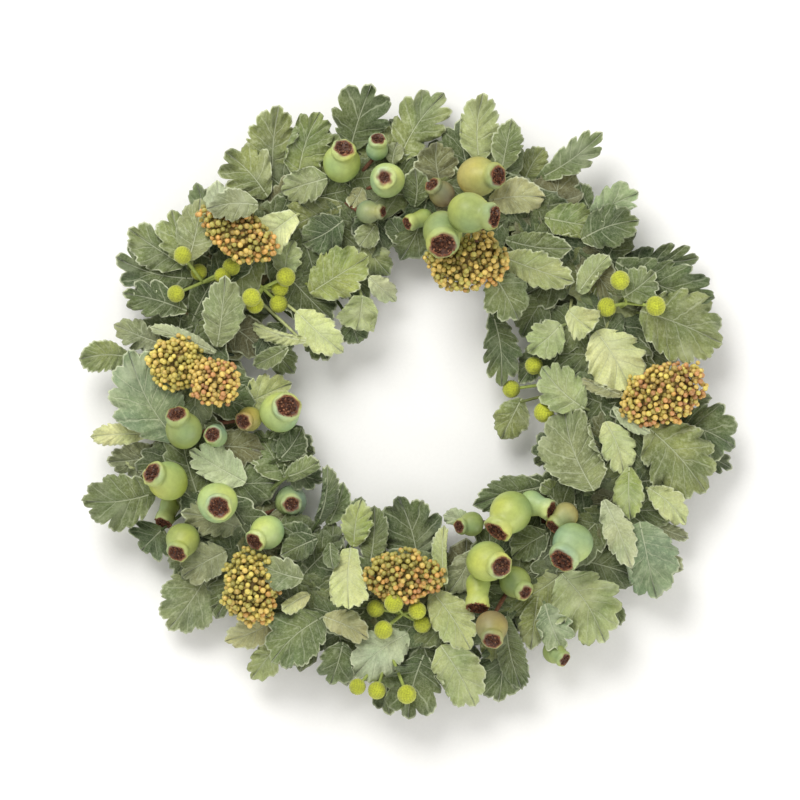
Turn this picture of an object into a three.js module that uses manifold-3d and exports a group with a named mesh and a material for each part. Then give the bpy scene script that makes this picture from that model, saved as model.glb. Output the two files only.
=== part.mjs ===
// Dusty miller wreath: a round wall wreath of preserved foliage on a clamp-type wire ring.
// Millimetres, +Z up. The wreath hangs upright: its front faces -Y and its flat back faces +Y.
// The origin is the point where the nail bears, inside the hanging eye at the top of the ring.
// All places below are given on the wreath itself: x to the right and z up from the middle of
// the ring, and depth, the distance in front of the wall.
import * as THREE from "three";
import { mergeVertices } from "three/addons/utils/BufferGeometryUtils.js";
import Module from "manifold-3d";

const wasm = await Module();
wasm.setup();

// Driving dimensions of the ring and the stem bundles that it holds
const RING_RADIUS = 168;
const RING_SPREAD = 13;
const RING_SEGMENTS = 24;
const WIRE_HALF = 2.4;
const WIRE_FLAT = 1.3;
const WIRE_DEPTH = 4.6;
const BUNCHES = 12;
const BUNDLE_SIDE = [27, 5];
const BUNDLE_CORNER = [15, 14];
const BUNDLE_DEPTH = 21;
const BUNDLE_STEPS = 2;
const CLAMP_RADIUS = 1.2;
const CLAMP_SIDE = [28.7, 5.7];
const CLAMP_CORNER = [15.8, 15.6];
const CLEARANCE = 0.35;
const WELD = 5e-3;

// Hanging eye, crimped on the outer wire at the top
const EYE_Z = 207;
const EYE_RADIUS = 8.2;
const EYE_WIRE = 1.6;
const EYE_DEPTH = 4.5;
const CRIMP_SIZE = [9, 6.2, 23];
const CRIMP_DEPTH = 3.5;
const CRIMP_Z = 187.5;
const NAIL_Z = EYE_Z + EYE_RADIUS - EYE_WIRE;

// Foliage
const BLADE_THICKNESS = 1.1;
const PETIOLE_RADIUS = 1.9;
const PETIOLE_SLOPE = 0.35;
const PETIOLE_RUN = [4, 30];
const PETIOLE_JOIN = 0.14;
const LEAST_AHEAD = 0.3;
const ROOT_DEPTH = 23;
const ROOT_SPREAD = 12;
const ROOT_EASE = 30;
const ROOT_SPAN = 0.46;
const ROOT_OFF_CLAMP = 0.03;
const NARROW_BLADE = 42;
const SEED = 20407;

// The pile: a height map over the wreath, on which each piece is laid in turn
const CELL = 4;
const REACH = 280;
const CELLS = (2 * REACH) / CELL;
const WALL_CLEARANCE = 9;
const BUNDLE_TOP = 38;
const LAYER_GAP = 1.8;
const SPOT_SPACING = 3.5;
const BASE_LOWEST = 30;
const BASE_STEP = 2;
const BASE_CHOICES = 32;
// The first part of a leaf, in which only the depth of its base counts
const BASE_PART = 0.12;
// How costs are weighed when a leaf's base depth is chosen
const BASE_WEIGHT = 0.8;
const STEEP_SLOPE = 0.55;
const STEEP_WEIGHT = 3;
const MISFIT = 1000;
// How far a button flower, a pod and the rim of a head sink into the foliage under them
const BUTTON_PRESS = 1;
const POD_PRESS = 3;
const HEAD_PRESS = 6;

// Outlines of the leaf kinds: [place along the blade, share of the half width]
const OUTLINES = {
  finger: [[0, 0.14], [0.22, 0.62], [0.33, 0.4], [0.52, 1], [0.64, 0.5], [0.84, 0.84], [1, 0.2]],
  scallop: [[0, 0.16], [0.2, 0.72], [0.32, 0.62], [0.5, 1], [0.66, 0.8], [0.84, 0.74], [1, 0.2]],
  broad: [[0, 0.16], [0.28, 0.82], [0.58, 1], [0.86, 0.66], [1, 0.14]],
  narrow: [[0, 0.25], [0.35, 0.92], [0.76, 0.88], [1, 0.18]],
  fold: [[0, 0.25], [0.32, 0.9], [0.75, 0.9], [1, 0.2]],
  fan: [[0, 0.32], [0.4, 0.7], [0.8, 1], [1, 0.74]],
};
// How far the edges drop below the midrib, as a share of the half width
const CAMBER = { finger: 0.12, scallop: 0.16, broad: 0.2, narrow: 0.2, fold: 0.85, fan: -0.1 };
const EDGE_LEAN = 0.22;
// Ranges of a leaf's seeded shape: bend and arch by its length, wave by its width,
// turns of the wave, depth of the tip, roll from side to side, and depth of the root
const BEND = [-0.07, 0.07];
const ARCH = [0.05, 0.14];
const WAVE = [0.018, 0.063];
const WAVE_PHASE = [0, 2 * Math.PI];
const WAVE_TURNS = [1.6, 2.6];
const TIP_DEPTH = [14, 38];
const ROLL = [-0.15, 0.15];
const ROOT_DEPTHS = [ROOT_DEPTH - 3, ROOT_DEPTH + 3];

// Leaves as they lie: base x, base z, tip x, tip z, width, kind, tone
const BACK_LEAVES = [
  // left and upper left
  [-165, 95, -226, 112, 42, "finger", "dark"],
  [-170, 70, -220, 84, 30, "finger", "dark"],
  [-172, 105, -216, 134, 34, "scallop", "mid"],
  [-158, 118, -164, 170, 26, "scallop", "mid"],
  [-170, 105, -182, 148, 34, "finger", "grey"],
  [-148, 130, -148, 172, 24, "broad", "silver"],
  [-105, 175, -100, 230, 40, "scallop", "olive"],
  [-85, 172, -68, 224, 40, "scallop", "bright"],
  // top
  [-45, 195, -28, 245, 46, "finger", "dark"],
  [-8, 185, 28, 240, 42, "finger", "olive"],
  [55, 185, 58, 238, 34, "scallop", "light"],
  [72, 178, 80, 218, 26, "broad", "mid"],
  [100, 172, 150, 208, 26, "finger", "mid"],
  [25, 168, 22, 200, 36, "scallop", "brown"],
  [5, 150, 5, 180, 24, "broad", "dark"],
  [-50, 140, -82, 122, 34, "broad", "dark"],
  [0, 120, -15, 142, 20, "narrow", "dark"],
  // right
  [140, 150, 133, 170, 18, "narrow", "dark"],
  [160, 108, 236, 80, 44, "finger", "dark"],
  [205, -15, 253, -35, 46, "finger", "dark"],
  [210, 5, 236, 3, 12, "narrow", "dark"],
  [190, -95, 218, -106, 12, "narrow", "dark"],
  [65, 70, 72, 12, 30, "finger", "dark"],
  [108, -65, 50, -80, 28, "broad", "dark"],
  [108, -101, 80, -120, 30, "broad", "dark"],
  [50, -95, 27, -88, 16, "narrow", "silver"],
  // lower right and bottom
  [163, -85, 180, -125, 24, "broad", "mid"],
  [155, -150, 165, -173, 14, "narrow", "dark"],
  [100, -150, 95, -192, 24, "broad", "olive"],
  [70, -185, 70, -233, 40, "scallop", "dark"],
  [12, -195, 0, -245, 50, "finger", "dark"],
  [50, -115, 30, -148, 26, "broad", "grey"],
  [8, -128, -8, -73, 54, "scallop", "dark"],
  [-50, -185, -60, -218, 34, "finger", "dark"],
  [-100, -185, -122, -215, 26, "scallop", "mid"],
  [-98, -165, -142, -185, 26, "scallop", "olive"],
  // lower left and left
  [-150, -126, -186, -177, 50, "scallop", "mid"],
  [-190, -98, -207, -115, 40, "finger", "dark"],
  [-195, -70, -252, -76, 46, "scallop", "mid"],
  [-215, 35, -254, 33, 25, "narrow", "olive"],
  [-190, 45, -228, 60, 24, "scallop", "grey"],
  [-200, -25, -246, -27, 18, "narrow", "beige"],
  [-75, -115, -98, -95, 26, "broad", "dark"],
  [-70, -105, -98, -118, 24, "broad", "dark"],
  // round the hole, on the left
  [-95, -60, -118, -22, 34, "scallop", "mid"],
  [-100, -45, -82, -20, 24, "broad", "dark"],
  [-45, 65, -38, 45, 24, "narrow", "dark"],
  [-75, 55, -62, 32, 28, "scallop", "dark"],
  [-95, 60, -116, 42, 24, "broad", "dark"],
  [-62, -95, -50, -62, 22, "broad", "dark"],
  [-42, -102, -36, -73, 16, "narrow", "dark"],
];
const MIDDLE_LEAVES = [
  // left and upper left
  [-178, -30, -215, 40, 56, "scallop", "blue"],
  [-108, 158, -141, 193, 42, "finger", "yellow"],
  [-168, 108, -160, 157, 34, "scallop", "sage"],
  [-190, -52, -220, -44, 14, "narrow", "light"],
  [-148, 38, -199, 58, 14, "fold", "silver"],
  [-62, 172, -98, 162, 30, "scallop", "silver"],
  // top
  [-12, 183, -8, 200, 16, "narrow", "blue"],
  [-35, 165, -45, 150, 18, "narrow", "beige"],
  [-25, 137, -38, 120, 20, "narrow", "sage"],
  [62, 155, 106, 158, 32, "broad", "beige"],
  [105, 140, 145, 141, 26, "scallop", "yellow"],
  [140, 145, 178, 162, 30, "finger", "blue"],
  [133, 125, 178, 140, 36, "scallop", "mid"],
  // right
  [178, 70, 243, 45, 56, "scallop", "olive"],
  [165, 80, 190, 100, 30, "scallop", "olive"],
  [131, 84, 155, 113, 24, "fold", "silver"],
  [75, 125, 126, 118, 26, "broad", "mid"],
  [72, 112, 128, 92, 30, "scallop", "light"],
  [65, 98, 85, 63, 38, "scallop", "mid"],
  [118, 60, 92, 38, 34, "scallop", "blue"],
  [145, 55, 172, 8, 46, "scallop", "yellow"],
  [125, 70, 137, 56, 20, "fold", "beige"],
  [166, 5, 133, 18, 14, "fold", "beige"],
  [88, 3, 72, -29, 30, "broad", "olive"],
  // lower right
  [185, -20, 230, -70, 58, "scallop", "olive"],
  [152, -15, 166, -57, 30, "scallop", "silver"],
  [158, -4, 186, -24, 12, "fold", "silver"],
  [185, -66, 215, -95, 26, "scallop", "light"],
  [178, -92, 192, -152, 52, "scallop", "blue"],
  [170, -50, 171, -91, 24, "broad", "yellow"],
  [150, -75, 172, -128, 26, "scallop", "silver"],
  [142, -68, 120, -2, 54, "scallop", "sage"],
  [118, -132, 152, -186, 58, "scallop", "pale"],
  [105, -155, 120, -192, 34, "finger", "blue"],
  [120, -72, 102, -63, 16, "narrow", "bright"],
  // bottom
  [75, -165, 88, -222, 22, "narrow", "blue"],
  [25, -187, 52, -235, 42, "scallop", "pale"],
  [18, -145, 48, -190, 34, "scallop", "light"],
  [28, -140, 28, -95, 18, "fold", "light"],
  [0, -178, -42, -212, 38, "scallop", "silver"],
  [-65, -165, -105, -200, 44, "scallop", "mid"],
  [-65, -165, -30, -182, 26, "scallop", "beige"],
  [-76, -148, -97, -160, 16, "fold", "pale"],
  [-42, -112, -36, -75, 26, "scallop", "yellow"],
  // lower left and left
  [-80, -135, -113, -124, 28, "scallop", "sage"],
  [-140, -115, -175, -135, 34, "scallop", "grey"],
  [-128, -98, -175, -85, 28, "scallop", "grey"],
  [-125, -62, -168, -37, 32, "scallop", "blue"],
  [-95, -58, -68, -45, 22, "fold", "beige"],
  [-70, -95, -62, -48, 20, "fold", "dark"],
  [-133, -5, -90, 15, 32, "scallop", "light"],
  // round the hole, on the left
  [-88, 140, -116, 127, 22, "fold", "beige"],
  [-95, 97, -88, 125, 26, "scallop", "sage"],
  [-76, 84, -30, 112, 42, "scallop", "bright"],
  [-35, 82, -40, 55, 38, "fan", "grey"],
  [-30, 96, -9, 78, 20, "scallop", "silver"],
  [-86, 70, -50, 38, 32, "scallop", "yellow"],
  [-78, 47, -121, 60, 16, "fold", "beige"],
  [-92, 42, -120, 28, 16, "narrow", "mid"],
];
// Leaves that lie over the pods, heads and buttons
const FRONT_LEAVES = [
  [-44, -112, -45, -158, 34, "fan", "silver"],
  [-147, 42, -140, 97, 34, "scallop", "sage"],
  [-118, 148, -152, 143, 20, "fold", "grey"],
  [136, -5, 103, 27, 36, "scallop", "light"],
  [-60, -108, -57, -128, 14, "narrow", "bright"],
];

// Seed pods by spray: body x, body z, body radius, mouth x, mouth z, mouth radius
const POD_SPRAYS = [
  {
    foot: [-54, 158],
    pods: [
      [-51, 183, 14.5, -49, 194, 6.5],
      [-24, 194, 8.5, -23, 202, 5],
      [-16, 170, 13.5, -18, 171, 4],
      [-31, 146, 9, -19, 146, 3.5],
    ],
  },
  {
    foot: [48, 152],
    pods: [
      [12, 142, 7, -1, 137, 4.5],
      [26, 160, 10, 18, 167, 5],
      [53, 173, 15.5, 69, 173, 7],
      [26, 130, 15, 26, 118, 9],
      [45, 143, 15.5, 65, 139, 7.5],
    ],
  },
  {
    foot: [-144, -16],
    pods: [
      [-172, -22, 14, -177, -9, 6.5],
      [-148, -26, 9, -150, -25, 5],
      [-122, -13, 9.5, -127, -15, 5],
      [-99, -8, 15.5, -92, -3, 8],
    ],
  },
  {
    foot: [-150, -66],
    pods: [
      [-184, -61, 15, -196, -54, 6.5],
      [-173, -106, 13, -177, -116, 6],
      [-185, -80, 8, -190, -94, 6.5],
      [-146, -77, 15.5, -144, -80, 7],
    ],
  },
  {
    foot: [-116, -90],
    pods: [
      [-91, -77, 12.5, -90, -79, 5],
      [-108, -100, 13, -118, -107, 6],
    ],
  },
  {
    foot: [118, -92],
    pods: [
      [49, -94, 9.5, 39, -96, 4.5],
      [95, -78, 10, 110, -83, 5.5],
      [121, -87, 10, 111, -96, 5.5],
      [79, -84, 16, 67, -99, 8],
      [126, -108, 15.5, 117, -121, 8.5],
    ],
  },
  {
    foot: [84, -134],
    pods: [
      [82, -138, 12, 90, -146, 4.5],
      [64, -172, 12.5, 64, -182, 6],
      [54, -140, 9.5, 53, -158, 8],
      [60, -122, 15.5, 71, -125, 7],
      [113, -193, 9, 121, -199, 4.5],
    ],
  },
];
const POD_SIDES = 6;
const POD_LENGTH = 1.22;
const POD_BACK = 0.75;
const BRANCH_RADIUS = 1.9;
const BRANCH_FOOT = { radius: 2.5, depth: 21 };
const BRANCH_FORK_DROP = 9;
const BRANCH_FORK_LEAST = 35;

// Berry heads: x, z, half width, half height, turn in degrees
const HEADS = [
  [-130, 130, 30, 18, -35],
  [-178, 30, 20, 19, 0],
  [-148, 15, 18, 17, 0],
  [45, 107, 30, 21, 8],
  [196, 6, 33, 21, 22],
  [-4, -134, 29, 19, 0],
  [-120, -142, 21, 27, 0],
];
const HEAD_DOME = 0.62;
const HEAD_UNDERSIDE = 7;
const HEAD_SPOTS = 20;
const HEAD_SPOT_EDGE = 0.95;
const HEAD_MIDDLE = 0.6;
const HEAD_ROUND = 14;
const HEAD_RINGS = 7;
const HEAD_BERRY_RELIEF = 0.17;
const HEAD_STEM_RADIUS = 2.6;

// Button flowers by spray: x, z, diameter
const BUTTON_SPRAYS = [
  {
    foot: [-158, 92],
    balls: [[-172, 112, 14], [-161, 100, 13], [-178, 83, 13.5], [-136, 104, 14], [-143, 97, 13]],
  },
  {
    foot: [-112, 88],
    balls: [[-118, 75, 14], [-120, 80, 14.5], [-99, 88, 14], [-94, 96, 15], [-100, 76, 14.5]],
  },
  { foot: [168, 76], balls: [[162, 93, 15], [153, 73, 15], [189.5, 73.5, 15.5]] },
  { foot: [108, 14], balls: [[97, 28, 14], [80, 10, 14], [105, -8, 16]] },
  {
    foot: [-4, -163],
    balls: [[-25, -159, 14], [7, -160, 14], [-11, -154, 15], [11, -171, 14], [-19, -175, 14.5]],
  },
  { foot: [-14, -192], balls: [[-39, -219, 13], [-24, -222, 14], [-1, -224.5, 15]] },
];
const BUTTON_STEM_RADIUS = 1.3;
const BUTTON_FOOT_RADIUS = 1.9;
const BUTTON_FORK_DROP = 7;
const BUTTON_FORK_LEAST = 31;
const BUTTON_FULLNESS = 1.08;

// Colours of the pieces
const LEAF_COLOURS = {
  dark: 0x5f7355, mid: 0x7d916e, light: 0xa5af91, blue: 0x96af9b, silver: 0xb4beaf, yellow: 0xa5b455,
  beige: 0xb9b48c, brown: 0x6e6e50, olive: 0x87905f, grey: 0x87907d, bright: 0x93ad62, sage: 0x93a284,
  pale: 0xb7c093,
};
const POD_COLOUR = 0x96b063;
const BERRY_COLOUR = 0xc8a050;
const BUTTON_COLOUR = 0xbec832;
const WIRE_COLOUR = 0x3f4a3c;
const EYE_COLOUR = 0x8c8f90;

// A point of the wreath in the frame of the geometry
const place = (x, z, depth) => new THREE.Vector3(x, -depth, z);
const polar = (radius, angle, depth) => place(radius * Math.cos(angle), radius * Math.sin(angle), depth);

// Seeded random numbers from 0 to 1
function seeded(seed) {
  let state = seed >>> 0;
  return () => {
    state = (state + 0x6d2b79f5) >>> 0;
    let t = state;
    t = Math.imul(t ^ (t >>> 15), t | 1);
    t ^= t + Math.imul(t ^ (t >>> 7), t | 61);
    return ((t ^ (t >>> 14)) >>> 0) / 4294967296;
  };
}

const between = (random, [low, high]) => low + (high - low) * random();

// A closed three.js geometry as a solid, faces out
function solid(geometry, tolerance = 1e-4) {
  const bare = geometry.clone();
  bare.deleteAttribute("normal");
  bare.deleteAttribute("uv");
  const merged = mergeVertices(bare, tolerance);
  const triVerts = new Uint32Array(merged.index.array);
  const vertProperties = new Float32Array(merged.attributes.position.array);
  const made = new wasm.Manifold(new wasm.Mesh({ numProp: 3, vertProperties, triVerts }));
  if (made.volume() >= 0) return made;
  for (let i = 0; i < triVerts.length; i += 3) {
    [triVerts[i + 1], triVerts[i + 2]] = [triVerts[i + 2], triVerts[i + 1]];
  }
  return new wasm.Manifold(new wasm.Mesh({ numProp: 3, vertProperties, triVerts }));
}

// A closed solid from its corners, three numbers each, and its triangles
function meshSolid(corners, triangles) {
  const geometry = new THREE.BufferGeometry();
  geometry.setAttribute("position", new THREE.BufferAttribute(new Float32Array(corners), 3));
  geometry.setIndex(triangles);
  return solid(geometry);
}

// A straight bar with a regular section of few sides
function bar(from, to, radius, sides) {
  const shape = new THREE.Shape();
  for (let i = 0; i < sides; i++) {
    const turn = ((i + 0.5) / sides) * 2 * Math.PI;
    const corner = [radius * Math.cos(turn), radius * Math.sin(turn)];
    if (i === 0) shape.moveTo(...corner);
    else shape.lineTo(...corner);
  }
  return solid(new THREE.ExtrudeGeometry(shape, { steps: 1, extrudePath: new THREE.LineCurve3(from, to) }));
}

// The corners of a flattened octagon, from its front right corner round to its front left one
function octagon(side, corner) {
  const half = [corner, side, [side[0], -side[1]], [corner[0], -corner[1]]];
  return [...half, ...half.map(([across, deep]) => [-across, deep]).reverse()];
}

const join = (solids) => solids.slice(1).reduce((all, one) => all.add(one), solids[0]);

// The pile
const heights = new Float64Array(CELLS * CELLS).fill(WALL_CLEARANCE);
const cellOf = (x, z) => Math.floor((z + REACH) / CELL) * CELLS + Math.floor((x + REACH) / CELL);
const heightAt = (x, z) => heights[cellOf(x, z)];
function raise(x, z, depth) {
  const cell = cellOf(x, z);
  heights[cell] = Math.max(heights[cell], depth);
}
for (let row = 0; row < CELLS; row++) {
  for (let column = 0; column < CELLS; column++) {
    const radius = Math.hypot((column + 0.5) * CELL - REACH, (row + 0.5) * CELL - REACH);
    if (Math.abs(radius - RING_RADIUS) < BUNDLE_SIDE[0]) heights[row * CELLS + column] = BUNDLE_TOP;
  }
}

// Share of the half width at t along a leaf outline, straight between its points
function shareAt(outline, t) {
  for (let i = 1; i < outline.length; i++) {
    const [t0, w0] = outline[i - 1];
    const [t1, w1] = outline[i];
    if (t <= t1) return w0 + ((w1 - w0) * (t - t0)) / (t1 - t0);
  }
  return outline[outline.length - 1][1];
}

// A leaf with its seeded bend, arch, wave and tip depth
function makeLeaf(row, random) {
  const [baseX, baseZ, tipX, tipZ, width, kind, tone] = row;
  const length = Math.hypot(tipX - baseX, tipZ - baseZ);
  const along = [(tipX - baseX) / length, (tipZ - baseZ) / length];
  return {
    baseX, baseZ, width, kind, tone, length, along,
    across: [-along[1], along[0]],
    bend: between(random, BEND) * length,
    arch: between(random, ARCH) * length,
    wave: between(random, WAVE) * width,
    phase: between(random, WAVE_PHASE),
    turns: between(random, WAVE_TURNS),
    leastTip: between(random, TIP_DEPTH),
    roll: between(random, ROLL),
    rootDepth: between(random, ROOT_DEPTHS),
    base: 0,
    tip: 0,
  };
}

// Where t along and s across fall on a leaf: x, z and the height over its straight line
function leafShape(leaf, t, s, share) {
  const half = 0.5 * leaf.width * share;
  const side = Math.abs(s);
  const sway = leaf.bend * Math.sin(Math.PI * t);
  const forward = leaf.length * t + EDGE_LEAN * side * half * (1 - t);
  const out = s * half + sway;
  const x = leaf.baseX + leaf.along[0] * forward + leaf.across[0] * out;
  const z = leaf.baseZ + leaf.along[1] * forward + leaf.across[1] * out;
  const ripple = leaf.wave * side * Math.sin(leaf.turns * 2 * Math.PI * t + leaf.phase + s);
  const over = leaf.arch * Math.sin(Math.PI * t) - CAMBER[leaf.kind] * side * half
    + leaf.roll * s * half * Math.sin(Math.PI * t) + ripple;
  return [x, z, over];
}

const leafDepth = (leaf, t, over) => leaf.base + (leaf.tip - leaf.base) * t + over;

// Lays a leaf on the pile as low as its base and tip can go
function layLeaf(leaf) {
  const outline = OUTLINES[leaf.kind];
  const rows = Math.ceil(leaf.length / SPOT_SPACING);
  const columns = Math.ceil(leaf.width / SPOT_SPACING);
  const spots = [];
  for (let i = 0; i <= rows; i++) {
    for (let j = 0; j <= columns; j++) {
      const t = i / rows;
      const [x, z, over] = leafShape(leaf, t, (2 * j) / columns - 1, shareAt(outline, t));
      spots.push([t, x, z, over, heightAt(x, z) + LAYER_GAP - over]);
    }
  }
  let best = Infinity;
  for (let i = 0; i < BASE_CHOICES; i++) {
    const base = BASE_LOWEST + i * BASE_STEP;
    let tip = leaf.leastTip;
    let fits = true;
    for (const [t, , , , need] of spots) {
      if (t < BASE_PART) fits = fits && base >= need;
      else tip = Math.max(tip, (need - base * (1 - t)) / t);
    }
    const steep = Math.max(0, Math.abs(tip - base) - STEEP_SLOPE * leaf.length);
    const cost = BASE_WEIGHT * base + tip + STEEP_WEIGHT * steep + (fits ? 0 : MISFIT);
    if (cost < best) {
      best = cost;
      leaf.base = base;
      leaf.tip = tip;
    }
  }
  for (const [t, x, z, over] of spots) raise(x, z, leafDepth(leaf, t, over) + BLADE_THICKNESS);
}

// Lowest depth of a ball's middle over the pile, and the mark that it leaves there
function layBall(x, z, radius, press) {
  let middle = 0;
  const spots = [];
  for (let dx = -radius; dx <= radius; dx += CELL) {
    for (let dz = -radius; dz <= radius; dz += CELL) {
      const off = Math.hypot(dx, dz);
      if (off > 0.9 * radius) continue;
      const rise = Math.sqrt(radius * radius - off * off);
      spots.push([x + dx, z + dz, rise]);
      middle = Math.max(middle, heightAt(x + dx, z + dz) + LAYER_GAP + rise - press);
    }
  }
  for (const [sx, sz, rise] of spots) raise(sx, sz, middle + rise);
  return middle;
}

// Lowest depth of a head's flat underside over the pile
function layHead([x, z, halfWidth, halfHeight, turn]) {
  const angle = THREE.MathUtils.degToRad(turn);
  const spots = [];
  let under = 0;
  for (let i = 0; i < HEAD_SPOTS; i++) {
    for (let j = 0; j < HEAD_SPOTS; j++) {
      const [u, v] = [i, j].map((step) => HEAD_SPOT_EDGE * ((2 * step) / (HEAD_SPOTS - 1) - 1));
      const off = Math.hypot(u, v);
      if (off > HEAD_SPOT_EDGE) continue;
      const dx = u * halfWidth * Math.cos(angle) - v * halfHeight * Math.sin(angle);
      const dz = u * halfWidth * Math.sin(angle) + v * halfHeight * Math.cos(angle);
      spots.push([x + dx, z + dz, Math.sqrt(1 - off * off)]);
      const press = off < HEAD_MIDDLE ? 0 : HEAD_PRESS;
      under = Math.max(under, heightAt(x + dx, z + dz) + LAYER_GAP - press);
    }
  }
  const rise = HEAD_DOME * Math.min(halfWidth, halfHeight);
  for (const [sx, sz, share] of spots) raise(sx, sz, under + HEAD_UNDERSIDE + rise * share);
  return under;
}

// Where a stem from above a spot roots in the bundle behind it, and in which bunch.
// It keeps off the clamp at the middle of the bunch and off the bunch's two ends.
function rootOf(x, z) {
  const step = (2 * Math.PI) / BUNCHES;
  const angle = Math.atan2(z, x);
  const sector = Math.floor(angle / step);
  const bunch = (sector + BUNCHES) % BUNCHES;
  const middle = (sector + 0.5) * step;
  const off = angle - middle;
  const widest = ROOT_SPAN * step;
  const kept = ROOT_OFF_CLAMP + (widest - ROOT_OFF_CLAMP) * Math.tanh(Math.abs(off) / widest);
  const radius = RING_RADIUS + ROOT_SPREAD * Math.tanh((Math.hypot(x, z) - RING_RADIUS) / ROOT_EASE);
  return { bunch, angle: middle + (off < 0 ? -kept : kept), radius };
}

// Where a leaf's petiole roots: behind its base, deep in the bundle
function petioleRoot(leaf) {
  const back = THREE.MathUtils.clamp(PETIOLE_SLOPE * (leaf.base - ROOT_DEPTH), ...PETIOLE_RUN);
  return rootOf(leaf.baseX - leaf.along[0] * back, leaf.baseZ - leaf.along[1] * back);
}

// A leaf as one strip from its root to its tip, swollen by grow for a clearance cut.
// A leaf that turns back over its own root has a short round petiole under it instead.
function leafSolid(leaf, grow) {
  const outline = OUTLINES[leaf.kind];
  const columns = leaf.width < NARROW_BLADE ? [-1, 1] : [-1, 0, 1];
  const root = petioleRoot(leaf);
  const foot = polar(root.radius, root.angle, leaf.rootDepth);
  const run = Math.hypot(leaf.baseX - foot.x, leaf.baseZ - foot.z);
  const ahead = [(leaf.baseX - foot.x) / run, (leaf.baseZ - foot.z) / run];
  const turnsBack = ahead[0] * leaf.along[0] + ahead[1] * leaf.along[1] < LEAST_AHEAD;
  const corners = [];
  const addCorner = (x, z, back, front) => {
    corners.push(...place(x, z, back - grow).toArray(), ...place(x, z, front + grow).toArray());
  };
  if (!turnsBack) {
    const turn = Math.sign(ahead[0] * leaf.across[1] - ahead[1] * leaf.across[0]);
    for (const s of columns) {
      const side = turn * s * (PETIOLE_RADIUS + grow);
      const [x, z] = [foot.x - side * ahead[1], foot.z + side * ahead[0]];
      addCorner(x, z, leaf.rootDepth - PETIOLE_RADIUS, leaf.rootDepth + PETIOLE_RADIUS);
    }
  }
  for (const [t, share] of outline) {
    const swollen = share + grow / (0.5 * leaf.width);
    const stretch = t + (Math.max(t - 0.5, 0) * 2 * grow) / leaf.length;
    for (const s of columns) {
      const [x, z, over] = leafShape(leaf, stretch, s, swollen);
      const depth = leafDepth(leaf, t, over);
      addCorner(x, z, depth, depth + BLADE_THICKNESS);
    }
  }
  const strip = stripSolid(corners, outline.length + (turnsBack ? 0 : 1), columns.length);
  if (!turnsBack) return strip;
  const [x, z, over] = leafShape(leaf, PETIOLE_JOIN, 0, 1);
  const head = place(x, z, leafDepth(leaf, PETIOLE_JOIN, over) + 0.5 * BLADE_THICKNESS);
  return strip.add(bar(head, foot, PETIOLE_RADIUS + grow, 4));
}

// A closed strip from rows of corners, each corner with its back and its front point
function stripSolid(corners, rows, columns) {
  const index = [];
  const corner = (i, j, level) => (i * columns + j) * 2 + level;
  const quad = (a, b, c, d) => index.push(a, b, c, a, c, d);
  const last = columns - 1;
  const end = rows - 1;
  for (let i = 0; i < end; i++) {
    for (let j = 0; j < last; j++) {
      quad(corner(i, j, 1), corner(i, j + 1, 1), corner(i + 1, j + 1, 1), corner(i + 1, j, 1));
      index.push(corner(i, j, 0), corner(i + 1, j + 1, 0), corner(i, j + 1, 0));
      index.push(corner(i, j, 0), corner(i + 1, j, 0), corner(i + 1, j + 1, 0));
    }
    quad(corner(i, 0, 0), corner(i, 0, 1), corner(i + 1, 0, 1), corner(i + 1, 0, 0));
    quad(corner(i, last, 0), corner(i + 1, last, 0), corner(i + 1, last, 1), corner(i, last, 1));
  }
  for (let j = 0; j < last; j++) {
    quad(corner(0, j, 0), corner(0, j + 1, 0), corner(0, j + 1, 1), corner(0, j, 1));
    quad(corner(end, j, 0), corner(end, j, 1), corner(end, j + 1, 1), corner(end, j + 1, 0));
  }
  return meshSolid(corners, index);
}

// A stem bundle: one sector of the ring of stems, ends square to the ring
function bundleSolid(bunch) {
  const step = (2 * Math.PI) / BUNCHES;
  const section = octagon(BUNDLE_SIDE, BUNDLE_CORNER);
  const slack = (0.5 * CLEARANCE) / (RING_RADIUS - BUNDLE_SIDE[0]);
  const corners = [];
  for (let i = 0; i <= BUNDLE_STEPS; i++) {
    const angle = bunch * step + slack + ((step - 2 * slack) * i) / BUNDLE_STEPS;
    for (const [across, deep] of section) {
      corners.push(...polar(RING_RADIUS + across, angle, BUNDLE_DEPTH + deep).toArray());
    }
  }
  const sides = section.length;
  const index = [];
  for (let i = 0; i < BUNDLE_STEPS; i++) {
    for (let j = 0; j < sides; j++) {
      const next = (j + 1) % sides;
      const [a, b, c, d] = [i * sides + j, i * sides + next, (i + 1) * sides + next, (i + 1) * sides + j];
      index.push(a, b, c, a, c, d);
    }
  }
  const end = BUNDLE_STEPS * sides;
  for (let j = 1; j + 1 < sides; j++) index.push(0, j + 1, j, end, end + j, end + j + 1);
  return meshSolid(corners, index);
}

// Wire ring with a flat facet on the wall side, and the clamps that grip the bundles
function frameSolid(grow) {
  const solids = [];
  for (const radius of [RING_RADIUS - RING_SPREAD, RING_RADIUS + RING_SPREAD]) {
    const half = WIRE_HALF + grow;
    const flat = WIRE_FLAT + grow;
    const front = WIRE_DEPTH + grow;
    const profile = [[-half, -grow], [half, -grow], [flat, front], [-flat, front], [-half, -grow]];
    const points = profile.map(([across, depth]) => new THREE.Vector2(radius + across, -depth));
    solids.push(solid(new THREE.LatheGeometry(points, RING_SEGMENTS)));
  }
  const clamp = octagon(CLAMP_SIDE, CLAMP_CORNER);
  for (let bunch = 0; bunch < BUNCHES; bunch++) {
    const angle = ((bunch + 0.5) / BUNCHES) * 2 * Math.PI;
    const points = clamp.map(([across, deep]) => polar(RING_RADIUS + across, angle, BUNDLE_DEPTH + deep));
    solids.push(bendBar(points, CLAMP_RADIUS + grow));
  }
  return join(solids);
}

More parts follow.
